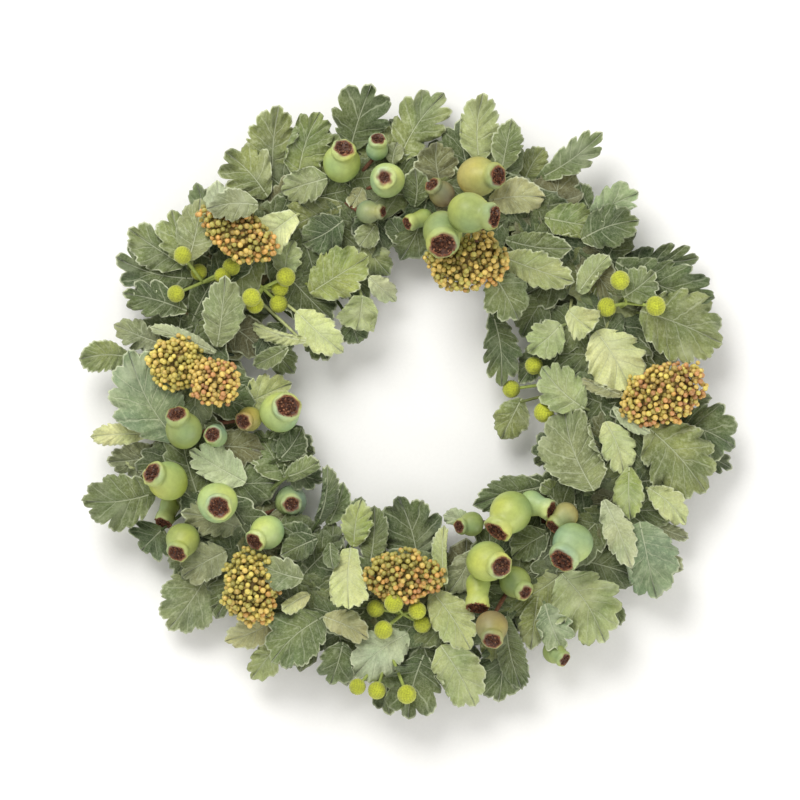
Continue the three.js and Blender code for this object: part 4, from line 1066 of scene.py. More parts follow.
def add_leaf(mesh, leaf, draw, coarser=1):
    """A blade of two grids, front and back, joined along the rim, on its petiole."""
    start, way, far, arc = blade_rows(leaf, RIM_SPACING * coarser)
    rows = len(arc)
    half_columns = max(FEWEST_COLUMNS, math.ceil(0.5 * leaf.width / (COLUMN_SPACING * coarser)))
    columns = 2 * half_columns + 1
    s = np.linspace(-1, 1, columns)[None, :]
    side = abs(s)
    (left_lobe, left), (right_lobe, right) = cut_rim(leaf, arc, draw), cut_rim(leaf, arc, draw)
    reach = far[:, None] * np.where(s < 0, left[:, None], right[:, None])
    lobe = np.where(s < 0, left_lobe[:, None], right_lobe[:, None])
    reach = reach * np.where(s < 0, between(draw, UNEVEN), between(draw, UNEVEN)) ** np.sin(way)[:, None]
    forward = start[:, None] + side * reach * np.cos(way)[:, None]
    lateral = s * reach * np.sin(way)[:, None]
    rim = (1 - side) * reach
    s, arc = np.broadcast_to(s, lateral.shape), np.broadcast_to(arc[:, None], lateral.shape)
    s, arc, lobe, forward, lateral, rim = [grid.ravel() for grid in (s, arc, lobe, forward, lateral, rim)]
    u = forward / leaf.length
    folded, lift = fold_over(leaf, lateral, draw)
    out = folded + leaf.bend * np.sin(np.pi * np.clip(u, 0, 1))
    x = leaf.base_x + leaf.along[0] * forward - leaf.along[1] * out
    z = leaf.base_z + leaf.along[1] * forward + leaf.along[0] * out
    lively = 1 if coarser == 1 else UNDER_CALM
    depth = blade_height(leaf, u, s, lateral, lobe, arc, draw, lively) + lift + BLADE_THICKNESS
    base, tint = blade_tint(leaf, x, z, abs(s), draw)
    blade_map = np.stack([BLADE_MAP * lateral * (1 + BLADE_MAP_TAPER * u), lobe], 1)
    rim_maps = [np.stack([rim / RIM_MAP, np.full_like(rim, front)], 1) for front in (1, 0)]
    number = len(s)
    grid = grid_faces(rows, columns)
    edge = rim_loop(rows, columns)
    ahead = np.roll(edge, -1)
    sides = np.concatenate([np.stack([edge, edge + number, ahead + number], 1),
                            np.stack([edge, ahead + number, ahead], 1)])
    points = np.concatenate([place(x, z, depth), place(x, z, depth - FINE_THICKNESS)])
    faces = np.concatenate([grid[:, ::-1], grid + number, sides[:, ::-1]])
    mesh.add(points, faces, np.concatenate([tint, tint]), 0, np.concatenate([blade_map, blade_map]),
             np.concatenate(rim_maps))
    add_petiole(mesh, leaf, base * PETIOLE_DIM + paint(PETIOLE_GREEN) * PETIOLE_GREEN_SHARE)


def add_petiole(mesh, leaf, tint):
    """The stalk of a leaf, from the ring to a little way up its blade."""
    _, angle, radius = petiole_root(leaf)
    foot = polar(radius, angle, leaf.root_depth)
    neck_x, neck_z, neck_over = leaf_shape(leaf, NECK, 0, 0)
    neck = np.array([neck_x, neck_z, leaf_depth(leaf, NECK, neck_over) + NECK_RISE])
    middle = PETIOLE_BOW * np.array([leaf.base_x, leaf.base_z, 0]) + (1 - PETIOLE_BOW) * foot
    middle[2] = foot[2] + PETIOLE_RISE * (leaf.base - foot[2])
    line = curve(foot, middle, neck, PETIOLE_STEPS)
    add_tube(mesh, line, np.linspace(*PETIOLE_FINE, PETIOLE_STEPS), tint, 1, PETIOLE_SIDES)


def bundle_point(angle, turn, half):
    """A point at a turn round the middle line of the stem bundles, at an angle on the ring."""
    return polar(RING_RADIUS + half[0] * math.cos(turn), angle, BUNDLE_DEPTH + half[1] * math.sin(turn))


def add_bundle(mesh, bunch, draw):
    """The stems of a bunch, laid side by side along the ring over a plain core, darkened as painted shade in
    the gaps between the stems.
    """
    step = 2 * math.pi / BUNCHES
    angles = np.linspace(bunch * step - BUNCH_OVERLAP, (bunch + 1) * step + BUNCH_OVERLAP, BUNDLE_ROWS)
    spine = np.array([polar(RING_RADIUS, angle, BUNDLE_DEPTH) for angle in angles])
    core = np.array([[bundle_point(angle, turn, BUNDLE_CORE) for turn in round_angles(BUNDLE_SIDES)]
                     for angle in angles])
    add_rings(mesh, core, spine, paint(STEM_TONES[2]) * BUNDLE_CORE_PAINTED_SHADE, 1)
    for number in range(BUNDLE_STEMS):
        turn = 2 * math.pi * (number + STEM_STRAY * draw()) / BUNDLE_STEMS
        close = between(draw, STEM_CLOSE)
        drift = STEM_DRIFT * (draw() - 0.5)
        tone = paint(STEM_TONES[int(len(STEM_TONES) * draw())]) * between(draw, STEM_SHADES)
        radius = between(draw, STEM_RADII)
        begin, finish = angles[0] + STEM_SHORTER * draw(), angles[-1] - STEM_SHORTER * draw()
        shares = np.linspace(0, 1, STEM_STEPS)
        line = [bundle_point(begin + (finish - begin) * t, turn + drift * (t - 0.5), close * BUNDLE_SHELL)
                for t in shares]
        add_tube(mesh, line, radius, tone, 1, STEM_SIDES)


def fork_of(foot, pieces, drop, least):
    lowest = min(piece.middle[2] - piece.radius for piece in pieces)
    return np.array([foot[0], foot[1], max(lowest - drop, least)])


def add_stalk(mesh, foot, depth, fork, radii, colour):
    """The stem of a spray, from the ring to its fork."""
    _, angle, radius = root_of(*foot)
    start = polar(radius, angle, depth)
    line = curve(start, 0.5 * (start + fork), fork + (0, 0, 1), STALK_STEPS)
    add_tube(mesh, line, np.linspace(*radii, STALK_STEPS), paint(colour), 1)


def add_twig(mesh, fork, end, sag, radii, colour):
    """A twig from a spray's fork to one of its pieces, sagging by a share of its run."""
    bow = 0.5 * (fork + end) + (0, 0, -sag * np.linalg.norm(end - fork))
    add_tube(mesh, curve(fork, bow, end, TWIG_STEPS), np.linspace(*radii, TWIG_STEPS), paint(colour), 1)


def pod_profile(pod):
    """Rows of [radius, place on its axis] of an urn, its neck's place, and its lip's and mouth's rows."""
    radius, mouth, reach = pod.radius, pod.mouth, pod.reach
    collar = max(POD_COLLAR * mouth + COLLAR_EDGE, COLLAR_LEAST * radius)
    collar = min(collar, max(COLLAR_MOST[0] * radius, COLLAR_MOST[1] * mouth))
    waist = min(WAIST_MOST[0] * collar, WAIST_MOST[1] * radius)
    least_turn, most_turn = SHOULDER_TURN
    top = min(most_turn, max(least_turn, math.acos(waist / radius) / math.pi - SHOULDER_EARLY)) * math.pi
    turns = np.linspace(-0.5 * np.pi, top, BODY_ROWS)
    body = np.stack([radius * np.cos(turns), radius * np.sin(turns) * np.where(turns > 0, UPPER_BODY, 1)], 1)
    shoulder_r, shoulder = body[-1]
    rise = reach - shoulder
    high = min(LIP_MOST[0] * rise, LIP_MOST[1] * collar)
    narrowing = np.sin(0.5 * np.pi * NECK_ROWS) ** NECK_EASE
    neck = np.stack([shoulder_r + (waist - shoulder_r) * narrowing, shoulder + (rise - high) * NECK_ROWS], 1)
    lip_foot = [LIP_FOOT * waist + (1 - LIP_FOOT) * collar, reach - LIP_FOOT_DROP * high]
    swell = 0.5 * np.pi * np.linspace(0, 1, LIP_ROWS)
    edge = LIP_EDGE * mouth
    lip = np.stack([edge + (collar - edge) * np.cos(swell) ** LIP_ROUNDING,
                    reach - LIP_CURL * high * (1 - np.sin(swell))], 1)
    inner = [[far * mouth, reach - sunk * mouth] for far, sunk in MOUTH_ROWS]
    profile = np.concatenate([body, neck, [lip_foot], lip, inner])
    return profile, shoulder, len(body) + len(neck) + LIP_WAVY_FROM, len(profile) - len(inner)


def pod_tint(pod, y, shoulder, past_mouth, around, phase):
    """Colours round a pod at a place on its axis, which is this many rows past the start of its mouth."""
    skin, neck_skin = [paint(colour) for colour in POD_SKINS[pod.skin]]
    dark, crumb, edge = [paint(colour) for colour in MOUTH]
    tone = skin + (neck_skin - skin) * max(0, (y + pod.radius) / (pod.reach + pod.radius)) ** POD_NECK_FADE
    up_neck = min(1, max(0, (y - shoulder) / (pod.reach - shoulder)))
    tone = tone + (paint(POD_BLOOM) - tone) * POD_BLOOM_SHARE * up_neck
    # The sunken mouth is darker inside: partly its own colour, partly painted shade
    if past_mouth >= 0:
        tone = MOUTH_SHADE * dark + (1 - MOUTH_SHADE) * crumb
    elif past_mouth == -1:
        tone = (1 - LIP_PALE) * crumb + LIP_PALE * edge
    elif past_mouth == -2:
        fray = (LIP_FRAY[0] + LIP_FRAY[1] * np.sin(5 * around + 2 * phase))[:, None]
        tone = tone * (1 - fray) + crumb * fray
    cloud = np.sin(around + phase + 0.1 * y) * (0.6 + 0.4 * np.cos(2 * around + 2 * phase - 0.2 * y))
    return tone * (1 + (POD_BLOTCH - 1) * cloud[:, None] * (past_mouth < 0))


def add_pod(mesh, pod, draw):
    """An urn on its axis: round body, neck, flared lip and a sunken crumbly mouth."""
    profile, shoulder, first_lip, first_inner = pod_profile(pod)
    mouth, reach, axis = pod.mouth, pod.reach, pod.axis
    out = np.cross(axis, POD_ASKEW)
    out /= np.linalg.norm(out)
    up = np.cross(axis, out)
    around = round_angles(POD_SIDES)
    phase = wave_phase(draw)
    points, tints = [], []
    for number, (r, y) in enumerate(profile):
        uneven, drop = 1 + POD_WAVE * np.sin(3 * around + phase), 0 * around
        if number >= first_lip:
            long, short = LIP_WAVES
            uneven = 1 + long * np.sin(2 * around + phase) + short * np.sin(7 * around + 2 * phase)
            drop = LIP_DROP * np.sin(5 * around + phase)
        flat = np.outer(r * uneven * np.cos(around), out) + np.outer(r * uneven * np.sin(around), up)
        points.append(pod.middle + flat + np.outer(y + drop, axis))
        tints.append(pod_tint(pod, y, shoulder, number - first_inner, around, phase))
    dark, crumb, edge = [paint(colour) for colour in MOUTH]
    points = np.concatenate(points + [[pod.middle + axis * (reach - MOUTH_SUNK * mouth)]])
    tints = np.concatenate(tints + [[dark]])
    rows = len(profile)
    cap = cap_faces(rows * POD_SIDES, (rows - 1) * POD_SIDES + np.arange(POD_SIDES))
    mesh.add_closed(points, np.concatenate([grid_faces(rows, POD_SIDES, True), cap]), tints)

    def crumb_place(turn, far, sunk):
        return pod.middle + axis * (reach - sunk) + (out * math.cos(turn) + up * math.sin(turn)) * far

    for _ in range(int(CRUMB_NUMBER[0] + CRUMB_NUMBER[1] * mouth)):
        turn, far = 2 * math.pi * draw(), CRUMB_FIELD * math.sqrt(draw()) * mouth
        size = mouth * between(draw, CRUMB_SIZES)
        at = crumb_place(turn, far, mouth * between(draw, CRUMB_SUNK))
        tone = dark + (crumb - dark) * draw()
        tone = tone + (edge - crumb) * (PALE_CRUMB_SHARE if draw() > PALE_CRUMB_FROM else 0)
        add_ball(mesh, at, size, 1, tone, 1)
    for _ in range(int(FRINGE_NUMBER[0] + FRINGE_NUMBER[1] * mouth)):
        turn, far = 2 * math.pi * draw(), mouth * between(draw, FRINGE_REACH)
        at = crumb_place(turn, far, FRINGE_SUNK * mouth * draw())
        size = mouth * between(draw, FRINGE_SIZES)
        add_ball(mesh, at, size, 1, crumb + (edge - crumb) * FRINGE_PALE * draw(), 1)


BALLS = {}


def ball_mesh(level):
    """Points and faces of a unit sphere of triangles."""
    if level not in BALLS:
        form = bmesh.new()
        bmesh.ops.create_icosphere(form, subdivisions=level, radius=1)
        BALLS[level] = form_arrays(form)
    return BALLS[level]


def form_arrays(form):
    """Points and triangles of a bmesh form, which is then freed."""
    form.verts.index_update()
    points = np.array([vertex.co[:] for vertex in form.verts])
    faces = np.array([[vertex.index for vertex in face.verts] for face in form.faces])
    form.free()
    return points, faces


def add_ball(mesh, middle, radius, level, tint, surface):
    points, faces = ball_mesh(level)
    mesh.add_closed(middle + points * radius, faces, tint, surface)


def spread_points(number):
    """Points spread evenly on a unit sphere, along a spiral."""
    at = np.arange(number) + 0.5
    height = 1 - 2 * at / number
    angle = math.pi * (1 + math.sqrt(5)) * at
    flat = np.sqrt(1 - height ** 2)
    return np.stack([flat * np.cos(angle), flat * np.sin(angle), height], 1)


def ellipsoid_area(half):
    """Near area of an ellipsoid, by Thomsen's rule with the power 1.6."""
    pairs = (half[0] * half[1]) ** 1.6 + (half[0] * half[2]) ** 1.6 + (half[1] * half[2]) ** 1.6
    return 4 * math.pi * (pairs / 3) ** (1 / 1.6)


def add_head(mesh, head, draw):
    """A dense head of berries on short stalks over a small dark core, which is painted shade in the gaps
    between the berries.
    """
    middle, half = head.middle, head.half
    cos, sin = math.cos(head.turn), math.sin(head.turn)
    turned = np.array([[cos, sin, 0], [-sin, cos, 0], [0, 0, 1]])
    _, angle, radius = root_of(*middle[:2])
    foot = polar(radius, angle, ROOT_DEPTH)
    add_tube(mesh, curve(foot, 0.5 * (foot + middle), middle, len(HEAD_STEM_RADII)), HEAD_STEM_RADII,
             paint(BARK), 1)
    core, core_faces = ball_mesh(3)
    mesh.add_closed(middle + (core * half * HEAD_CORE) @ turned, core_faces, paint(HEAD_CORE_PAINTED_SHADE), 1)
    colours = [paint(BERRIES[name]) for name in head.colours]
    bumps = [wave_phase(draw), wave_phase(draw)]
    for inset, pitch, painted_shade in BERRY_LAYERS:
        for spot in spread_points(int(BERRY_CROWDING * ellipsoid_area(half) / pitch ** 2)):
            if spot[2] < BERRY_LOWEST:
                continue
            way = math.atan2(spot[1], spot[0])
            outline = (1 + HEAD_BUMPS[0] * math.sin(4 * way + bumps[0])
                       + HEAD_BUMPS[1] * math.sin(7 * way + bumps[1]))
            jitter = np.array([draw() - 0.5, draw() - 0.5, draw() - 0.5]) * BERRY_JITTER
            length = inset * outline + BERRY_STALKS * (draw() - 0.5)
            at = middle + ((spot * length + jitter * painted_shade) * half) @ turned
            size = BERRY_RADIUS * between(draw, BERRY_SIZES)
            near = COLOUR_MIDDLE + COLOUR_SLANT * (spot[0] - spot[1]) + COLOUR_CHANCE * (draw() - 0.5)
            # Painted shade: berries of the inner layer are darkened by their layer's share
            tone = colours[int(min(len(colours) - 1, max(0, near)))] * painted_shade
            add_ball(mesh, at, size, 2 if painted_shade == 1 else 1, tone * between(draw, BERRY_SHADES), 0)


def add_button(mesh, button, draw):
    """A round flower head covered with small raised florets."""
    points, faces = ball_mesh(4)
    close = points @ spread_points(FLORETS).T
    nearest = np.arccos(np.clip(close.max(axis=1), -1, 1))
    spacing = math.sqrt(4 * math.pi / FLORETS) * FLORET_REACH
    bump = np.clip(1 - (nearest / spacing) ** 2, 0, 1)
    turn = wave_phase(draw)
    cos, sin = math.cos(turn), math.sin(turn)
    spin = np.array([[cos, -sin, 0], [sin, cos, 0], [0, 0, 1]])
    tilt = np.array([[1, 0, 0], [0, cos, -sin], [0, sin, cos]])
    dark, relief = FLORET_PAINTED_SHADE
    # Painted shade and highlight: the colour is darker in the gaps between the florets and lighter on their
    # tops
    tint = paint(BUTTON) * between(draw, BUTTON_SHADES) * (dark + relief * bump)[:, None]
    radius = BUTTON_SWELL * (button.radius - FLORET_RELIEF + FLORET_RELIEF * bump)
    mesh.add_closed(button.middle + points @ (spin @ tilt).T * radius[:, None], faces, tint)


class Graph:
    """A material's nodes, added one by one."""

    def __init__(self, name):
        self.material = bpy.data.materials.new(name)
        self.material.use_nodes = True
        self.tree = self.material.node_tree
        self.tree.nodes.clear()
        self.shader = self.tree.nodes.new("ShaderNodeBsdfPrincipled")
        output = self.tree.nodes.new("ShaderNodeOutputMaterial")
        self.tree.links.new(self.shader.outputs[0], output.inputs["Surface"])
        self.position = self.node("ShaderNodeTexCoord", output="Object")

    def set(self, socket, value):
        if isinstance(value, bpy.types.NodeSocket):
            self.tree.links.new(value, socket)
        elif value is not None:
            socket.default_value = value

    def node(self, kind, inputs=None, output=0, **settings):
        node = self.tree.nodes.new(kind)
        for key, value in settings.items():
            setattr(node, key, value)
        for key, value in (inputs or {}).items():
            self.set(node.inputs[key], value)
        return node.outputs[output]

    def math(self, operation, a, b=None):
        return self.node("ShaderNodeMath", {0: a, 1: b}, operation=operation)

    def times(self, a, b):
        return self.math("MULTIPLY", a, b)

    def most(self, a, b):
        return self.math("MAXIMUM", a, b)

    def off_middle(self, value):
        """How far a value lies from the middle between two whole numbers."""
        return self.math("ABSOLUTE", self.math("SUBTRACT", self.math("FRACT", value), 0.5))

    def fade(self, value, start, end, low=0, high=1):
        """A smooth step of value from low at start to high at end."""
        return self.node("ShaderNodeMapRange", {"Value": value, "From Min": start, "From Max": end,
                                                "To Min": low, "To Max": high},
                         interpolation_type="SMOOTHSTEP", clamp=True)

    def mix(self, share, a, b, blend="MIX"):
        node = self.tree.nodes.new("ShaderNodeMix")
        node.data_type = "RGBA"
        node.blend_type = blend
        for key, value in ((0, share), (6, a), (7, b)):
            self.set(node.inputs[key], value)
        return node.outputs[2]

    def shaded(self, colour, shade):
        grey = self.node("ShaderNodeCombineColor", {0: shade, 1: shade, 2: shade})
        return self.mix(1.0, colour, grey, "MULTIPLY")

    def noise(self, scale, detail=3, roughness=0.55, vector=None):
        vector = self.position if vector is None else vector
        return self.node("ShaderNodeTexNoise", {"Vector": vector, "Scale": scale, "Detail": detail,
                                                "Roughness": roughness})

    def tint(self):
        return self.node("ShaderNodeAttribute", attribute_name="tint")

    def map_axes(self, name):
        axes = self.node("ShaderNodeSeparateXYZ", {0: self.node("ShaderNodeUVMap", uv_map=name)}).node
        return axes.outputs[0], axes.outputs[1]

    def bump(self, strength, distance, height):
        return self.node("ShaderNodeBump", {"Strength": strength, "Distance": distance, "Height": height})

    def finish(self, **sockets):
        for key, value in sockets.items():
            self.set(self.shader.inputs[key.replace("_", " ")], value)
        return self.material


def rgba(colour):
    return (*[float(share) for share in colour], 1.0)


def leaf_veins(g, lateral, lobe, rim):
    """Midrib, side veins and their small branches, from 0 to 1."""
    wobble = g.times(g.math("SUBTRACT", g.noise(90, 2), 0.5), 0.4)
    off_vein = g.off_middle(g.math("ADD", lobe, wobble))
    side_vein = g.times(g.fade(off_vein, 0.06, 0.01), g.fade(rim, 0.0, 0.7, 0.05, 1))
    off_branch = g.off_middle(g.math("ADD", g.times(lobe, 3.0), g.times(wobble, 4.0)))
    side_vein = g.most(side_vein, g.fade(off_branch, 0.1, 0.02, 0, 0.2))
    return g.most(g.times(side_vein, 0.6), g.fade(g.math("ABSOLUTE", lateral), 0.1, 0.025))


def leaf_material():
    """Felted leaf: pale midrib and side veins, pale rim, mottled face and paler underside."""
    g = Graph("leaf_felt")
    tint = g.tint()
    lateral, lobe = g.map_axes("blade")
    rim, is_front = g.map_axes("rim")
    veins = leaf_veins(g, lateral, lobe, rim)
    net = g.node("ShaderNodeTexVoronoi", {"Vector": g.position, "Scale": 420.0}, feature="DISTANCE_TO_EDGE")
    cloud = g.noise(60, 4)
    speck = g.noise(620, 3, 0.7)
    pale = g.mix(0.6, tint, rgba(paint(LEAF_PALE)))
    shade = g.times(g.fade(cloud, 0.3, 0.72, 0.84, 1.14), g.fade(speck, *NOISE_SPAN, 0.86, 1.14))
    colour = g.shaded(tint, shade)
    colour = g.mix(g.times(g.fade(net, 0.12, 0.0), 0.14), colour, pale)
    colour = g.mix(g.times(veins, 0.75), colour, pale)
    grain = g.node("ShaderNodeCombineXYZ",
                   {0: g.times(lateral, 1.2), 1: g.times(lobe, 2.4), 2: g.times(cloud, 3.0)})
    streak = g.fade(g.noise(1.5, 4, 0.6, grain), 0.46, 0.72, 0, 0.5)
    bloom = g.most(streak, g.fade(g.noise(34, 4, 0.6), 0.5, 0.74, 0, 0.58))
    green = g.node("ShaderNodeSeparateColor", {0: tint}, 1)
    colour = g.mix(g.times(bloom, g.fade(green, 0.06, 0.24, 0.4, 1)), colour, pale)
    hem = g.times(g.fade(rim, 0.18, 0.04), g.fade(g.noise(38), 0.42, 0.6, 0.12, 0.9))
    colour = g.mix(hem, colour, g.mix(0.8, tint, rgba(paint(LEAF_PALE))))
    colour = g.mix(is_front, g.mix(0.45, tint, rgba(paint(LEAF_UNDER))), colour)
    relief = g.math("SUBTRACT", g.times(speck, 0.5), g.times(veins, 0.9))
    relief = g.math("ADD", relief, g.times(g.noise(130, 3, 0.6), 1.6))
    return g.finish(Base_Color=colour, Roughness=0.82, Normal=g.bump(0.7, 0.0012, relief),
                    Sheen_Weight=0.25, Sheen_Roughness=0.5, Specular_IOR_Level=0.25)


def tinted_material(name, roughness, speck_scale, spread, bump_height, **sockets):
    """A surface in its own point colours, with fine specks and relief."""
    g = Graph(name)
    speck = g.noise(speck_scale, 3, 0.65)
    cloud = g.noise(speck_scale * 0.16, 3, 0.5)
    shades = [g.fade(noise, *NOISE_SPAN, 1 - spread, 1 + spread) for noise in (speck, cloud)]
    rough = g.fade(cloud, *NOISE_SPAN, roughness - 0.06, roughness + 0.08)
    return g.finish(Base_Color=g.shaded(g.tint(), g.times(*shades)), Roughness=rough,
                    Normal=g.bump(0.6, bump_height, speck), **sockets)


def plain_material(name, colour, roughness, metallic=0.0, scale=300, bump_height=0.0001, darkest=0.86):
    """A surface in one colour, with faint darker specks and relief."""
    g = Graph(name)
    speck = g.noise(scale, 3, 0.6)
    tone = g.mix(g.fade(speck, *NOISE_SPAN), rgba(darkest ** 2 * linear(colour)), rgba(linear(colour)))
    return g.finish(Base_Color=tone, Roughness=roughness, Metallic=metallic,
                    Normal=g.bump(0.4, bump_height, speck))


leaf_felt = leaf_material()
stem_skin = tinted_material("stem_skin", 0.75, 500, 0.14, 0.0003, Specular_IOR_Level=0.3)
pod_skin = tinted_material("pod_skin", 0.5, 240, 0.07, 0.00012, Coat_Weight=0.12, Coat_Roughness=0.35,
                           Specular_IOR_Level=0.4)
mouth_crumb = tinted_material("mouth_crumb", 0.92, 900, 0.25, 0.0006, Specular_IOR_Level=0.2)
berry_skin = tinted_material("berry_skin", 0.36, 500, 0.08, 0.0001, Specular_IOR_Level=0.45)
floret_felt = tinted_material("floret_felt", 0.85, 1100, 0.12, 0.0004, Sheen_Weight=0.3,
                              Sheen_Roughness=0.5)
lacquer = plain_material("wire_lacquer", LACQUER, 0.42, 0.3)
bright_wire = plain_material("bright_wire", BRIGHT_WIRE, 0.32, 1.0, 900, 0.00005)


def bed_leaf(row, base, tip, painted_shade, draw):
    """A flatter leaf at given depths, dimmer because it lies in shade."""
    leaf = make_leaf(row, draw)
    leaf.arch *= BED_ARCH
    leaf.base, leaf.tip, leaf.painted_shade = base, tip, painted_shade
    return leaf


def make_under(angle, base_radius, tip_radius, turn, base, tip, draw):
    angle += UNDER_WANDER * 2 * (draw() - 0.5)
    tip_radius += UNDER_RUN * 2 * (draw() - 0.5)
    tip_angle = angle + turn + UNDER_WANDER * (draw() - 0.5)
    kind = UNDER_KINDS[int(len(UNDER_KINDS) * draw())]
    tone = UNDER_TONES[int(len(UNDER_TONES) * draw())]
    row = [*polar(base_radius, angle, 0)[:2], *polar(tip_radius, tip_angle, 0)[:2],
           between(draw, UNDER_WIDTH), kind, tone]
    leaf = bed_leaf(row, base, tip, UNDER_PAINTED_SHADE, draw)
    leaf.base += UNDER_BASE_STRAY * draw()
    leaf.tip += UNDER_TIP_STRAY * draw()
    return leaf


def hides_a_piece(leaf):
    """Whether an under leaf lies over a button flower or pod that is to be seen."""
    for _, spray in button_sprays + pod_sprays:
        for piece in spray:
            off = piece.middle[:2] - (leaf.base_x, leaf.base_z)
            forward = off[0] * leaf.along[0] + off[1] * leaf.along[1]
            out = abs(off[1] * leaf.along[0] - off[0] * leaf.along[1])
            if -HIDE_MARGIN < forward < leaf.length and out < 0.5 * leaf.width:
                share = min(1, max(0, forward / leaf.length))
                if leaf.base + (leaf.tip - leaf.base) * share + leaf.arch > piece.middle[2]:
                    return True
    return False


def make_bunches():
    """The bunches: leaves and petioles over their stems, each leaf in the bunch in which it roots."""
    under_draw = seeded(SEED + 2)
    under = [make_under(2 * math.pi * i / number, *bed, under_draw)
             for number, *bed in UNDER_BEDS for i in range(number)]
    fill = [bed_leaf(row[:7], *row[7:], FILL_PAINTED_SHADE, under_draw) for row in FILL_LEAVES]
    members = ([[leaf, 1] for leaf in leaves]
               + [[leaf, UNDER_COARSER] for leaf in under if not hides_a_piece(leaf)]
               + [[leaf, 1] for leaf in fill])
    for bunch in range(BUNCHES):
        mesh = Mesh()
        add_bundle(mesh, bunch, fine_draw)
        for leaf, coarser in members:
            if petiole_root(leaf)[0] == bunch:
                add_leaf(mesh, leaf, fine_draw, coarser)
        mesh.make(f"foliage_{bunch + 1:02d}", [leaf_felt, stem_skin], f"bunch_{bunch + 1:02d}")


def make_pod_spray(number, foot, pods):
    mesh = Mesh()
    fork = fork_of(foot, pods, BRANCH_FORK_DROP, BRANCH_FORK_LEAST)
    add_stalk(mesh, foot, BRANCH_DEPTH, fork, BRANCH_RADII, BARK)
    for pod in pods:
        add_pod(mesh, pod, fine_draw)
        back = pod.middle - pod.axis * POD_BACK * pod.radius
        add_twig(mesh, fork, back, TWIG_SAG, TWIG_RADII, BARK)
    mesh.make(f"pods_{number}", [pod_skin, mouth_crumb], f"pod_spray_{number}")


def make_berry_head(number, head):
    mesh = Mesh()
    add_head(mesh, head, fine_draw)
    mesh.make(f"berries_{number}", [berry_skin, stem_skin], f"berry_head_{number}")


def make_button_spray(number, foot, buttons):
    mesh = Mesh()
    fork = fork_of(foot, buttons, BUTTON_FORK_DROP, BUTTON_FORK_LEAST)
    fork[2] = max(fork[2], np.mean([button.middle[2] for button in buttons]) - BUTTON_FORK_UNDER)
    add_stalk(mesh, foot, ROOT_DEPTH, fork, BUTTON_STALK_RADII, GREEN_STEM)
    for button in buttons:
        add_button(mesh, button, fine_draw)
        add_twig(mesh, fork, button.middle, BUTTON_STEM_SAG, BUTTON_STEM_RADII, GREEN_STEM)
    mesh.make(f"buttons_{number}", [floret_felt, stem_skin], f"button_spray_{number}")


def wire_profile():
    """Round wire pressed flat on the wall side, as rows of across and depth."""
    turns = np.pi * np.linspace(*WIRE_TURNS, WIRE_ROWS)
    half = 0.5 * (WIRE_HALF + WIRE_FLAT)
    depth = WIRE_DEPTH * (WIRE_AXIS + (1 - WIRE_AXIS) * np.sin(turns))
    round_side = np.stack([WIRE_WIDER * half * np.cos(turns), depth], 1)
    return [*round_side, [-WIRE_FOOT * half, 0], [WIRE_FOOT * half, 0]]


def add_wire_ring(mesh, ring_radius):
    profile = wire_profile()
    points = np.array([polar(ring_radius + across, angle, depth)
                       for angle in round_angles(WIRE_SIDES) for across, depth in profile])
    mesh.add_closed(points, grid_faces(WIRE_SIDES, len(profile), True, True), PLAIN)


def add_clamp(mesh, angle):
    """A clamp of bent wire that holds a bunch of stems from the back."""
    upper = [CLAMP_CORNER, CLAMP_SIDE]
    one_half = upper + [[across, -deep] for across, deep in reversed(upper)]
    whole = one_half + [[-across, deep] for across, deep in reversed(one_half)]
    corners = np.array([polar(RING_RADIUS + across, angle, BUNDLE_DEPTH + deep) for across, deep in whole])
    line = [first + (second - first) * share
            for first, second in zip(corners[:-1], corners[1:]) for share in CLAMP_SHARES]
    add_tube(mesh, [corners[0], *line, corners[-1]], CLAMP_RADIUS, PLAIN, 0, CLAMP_SIDES)


def make_ring():
    mesh = Mesh()
    for ring_radius in (RING_RADIUS - RING_SPREAD, RING_RADIUS + RING_SPREAD):
        add_wire_ring(mesh, ring_radius)
    for bunch in range(BUNCHES):
        add_clamp(mesh, (bunch + 0.5) / BUNCHES * 2 * math.pi)
    mesh.make("ring_and_clamps", [lacquer], "wire_frame")


def make_eye():
    """The hanging eye, a loop of wire, with the crimp that holds it to the ring."""
    mesh = Mesh()
    turns = np.linspace(0, 2 * np.pi, EYE_STEPS)
    loop = np.stack([EYE_RADIUS * np.sin(turns), EYE_Z + EYE_RADIUS * np.cos(turns),
                     np.full(EYE_STEPS, EYE_DEPTH)], 1)
    add_tube(mesh, loop, EYE_WIRE, PLAIN, 0, EYE_SIDES)
    form = bmesh.new()
    bmesh.ops.create_cube(form, size=1)
    bmesh.ops.scale(form, vec=(CRIMP_SIZE[0], CRIMP_SIZE[2], CRIMP_SIZE[1]), verts=form.verts)
    bmesh.ops.bevel(form, geom=form.edges[:], offset=CRIMP_ROUND, segments=3, profile=0.5, affect="EDGES")
    bmesh.ops.triangulate(form, faces=form.faces[:])
    crimp, faces = form_arrays(form)
    mesh.add_closed(crimp + (0, CRIMP_Z, CRIMP_DEPTH), faces, PLAIN)
    mesh.make("eye_and_crimp", [bright_wire], "hanging_eye")


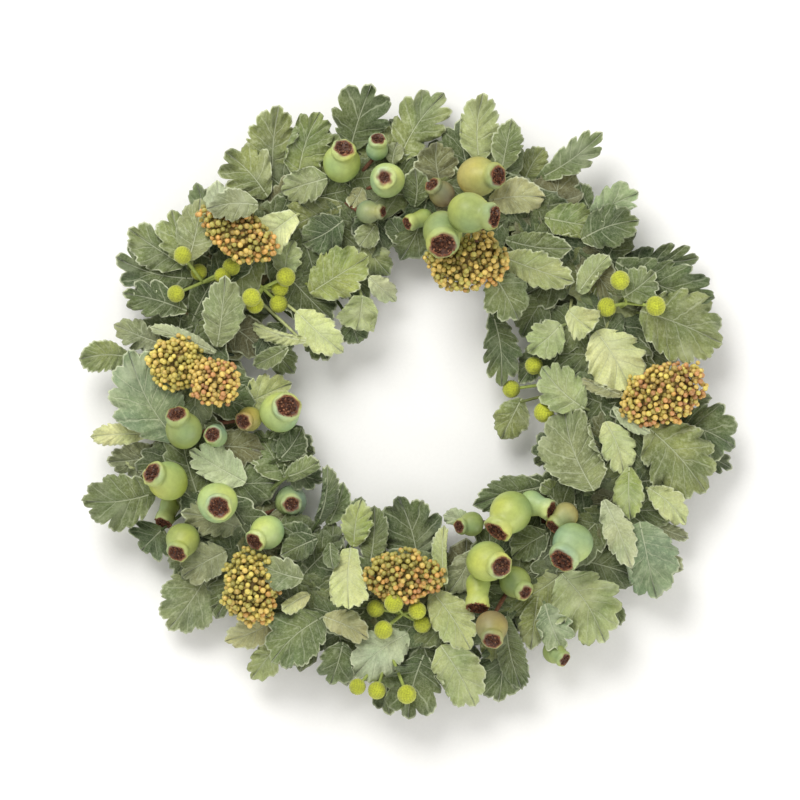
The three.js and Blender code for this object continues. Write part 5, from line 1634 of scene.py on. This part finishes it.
make_bunches()
for spray_number, (foot, pods) in enumerate(pod_sprays):
    make_pod_spray(spray_number + 1, foot, pods)
for head_number, head in enumerate(heads):
    make_berry_head(head_number + 1, head)
for spray_number, (foot, buttons) in enumerate(button_sprays):
    make_button_spray(spray_number + 1, foot, buttons)
make_ring()
make_eye()


def add_plane(name, corners, material):
    mesh = bpy.data.meshes.new(name)
    mesh.from_pydata(corners, [], [(0, 1, 2, 3)])
    plane = bpy.data.objects.new(name, mesh)
    bpy.context.scene.collection.objects.link(plane)
    mesh.materials.append(material)


def add_light(name, location, size, power, colour):
    """A round area light that faces the middle of the wreath."""
    light = bpy.data.lights.new(name, "AREA")
    light.shape = "DISK"
    light.size = size
    light.energy = power
    light.color = colour
    lamp = bpy.data.objects.new(name, light)
    lamp.location = location
    way = Vector(WREATH_MIDDLE) - Vector(location)
    lamp.rotation_euler = way.to_track_quat("-Z", "Y").to_euler()
    bpy.context.scene.collection.objects.link(lamp)


wall_paint = plain_material("wall_paint", WALL_PAINT, 0.9, 0.0, 400, 0.00005, 0.99)
add_plane("wall", [(-ROOM, WALL_Y, FLOOR_Z), (ROOM, WALL_Y, FLOOR_Z), (ROOM, WALL_Y, ROOM),
                   (-ROOM, WALL_Y, ROOM)], wall_paint)
add_plane("floor", [(-ROOM, -ROOM, FLOOR_Z), (ROOM, -ROOM, FLOOR_Z), (ROOM, WALL_Y, FLOOR_Z),
                    (-ROOM, WALL_Y, FLOOR_Z)], wall_paint)

for row in LIGHTS:
    add_light(*row)
world = bpy.data.worlds.new("room")
bpy.context.scene.world = world
world.use_nodes = True
background = world.node_tree.nodes["Background"]
background.inputs["Color"].default_value = AMBIENT_COLOUR
background.inputs["Strength"].default_value = AMBIENT_STRENGTH

camera = bpy.data.objects.new("camera", bpy.data.cameras.new("camera"))
camera.location = (PHOTO_MIDDLE[0] * MM, -CAMERA_DISTANCE, (PHOTO_MIDDLE[1] - NAIL_Z) * MM)
camera.rotation_euler = (math.radians(90), 0, 0)
camera.data.sensor_width = SENSOR
camera.data.lens = SENSOR * (CAMERA_DISTANCE - FOLIAGE_DEPTH) / PHOTO_SPAN
bpy.context.scene.collection.objects.link(camera)
bpy.context.scene.camera = camera
bpy.context.scene.view_settings.view_transform = "Standard"
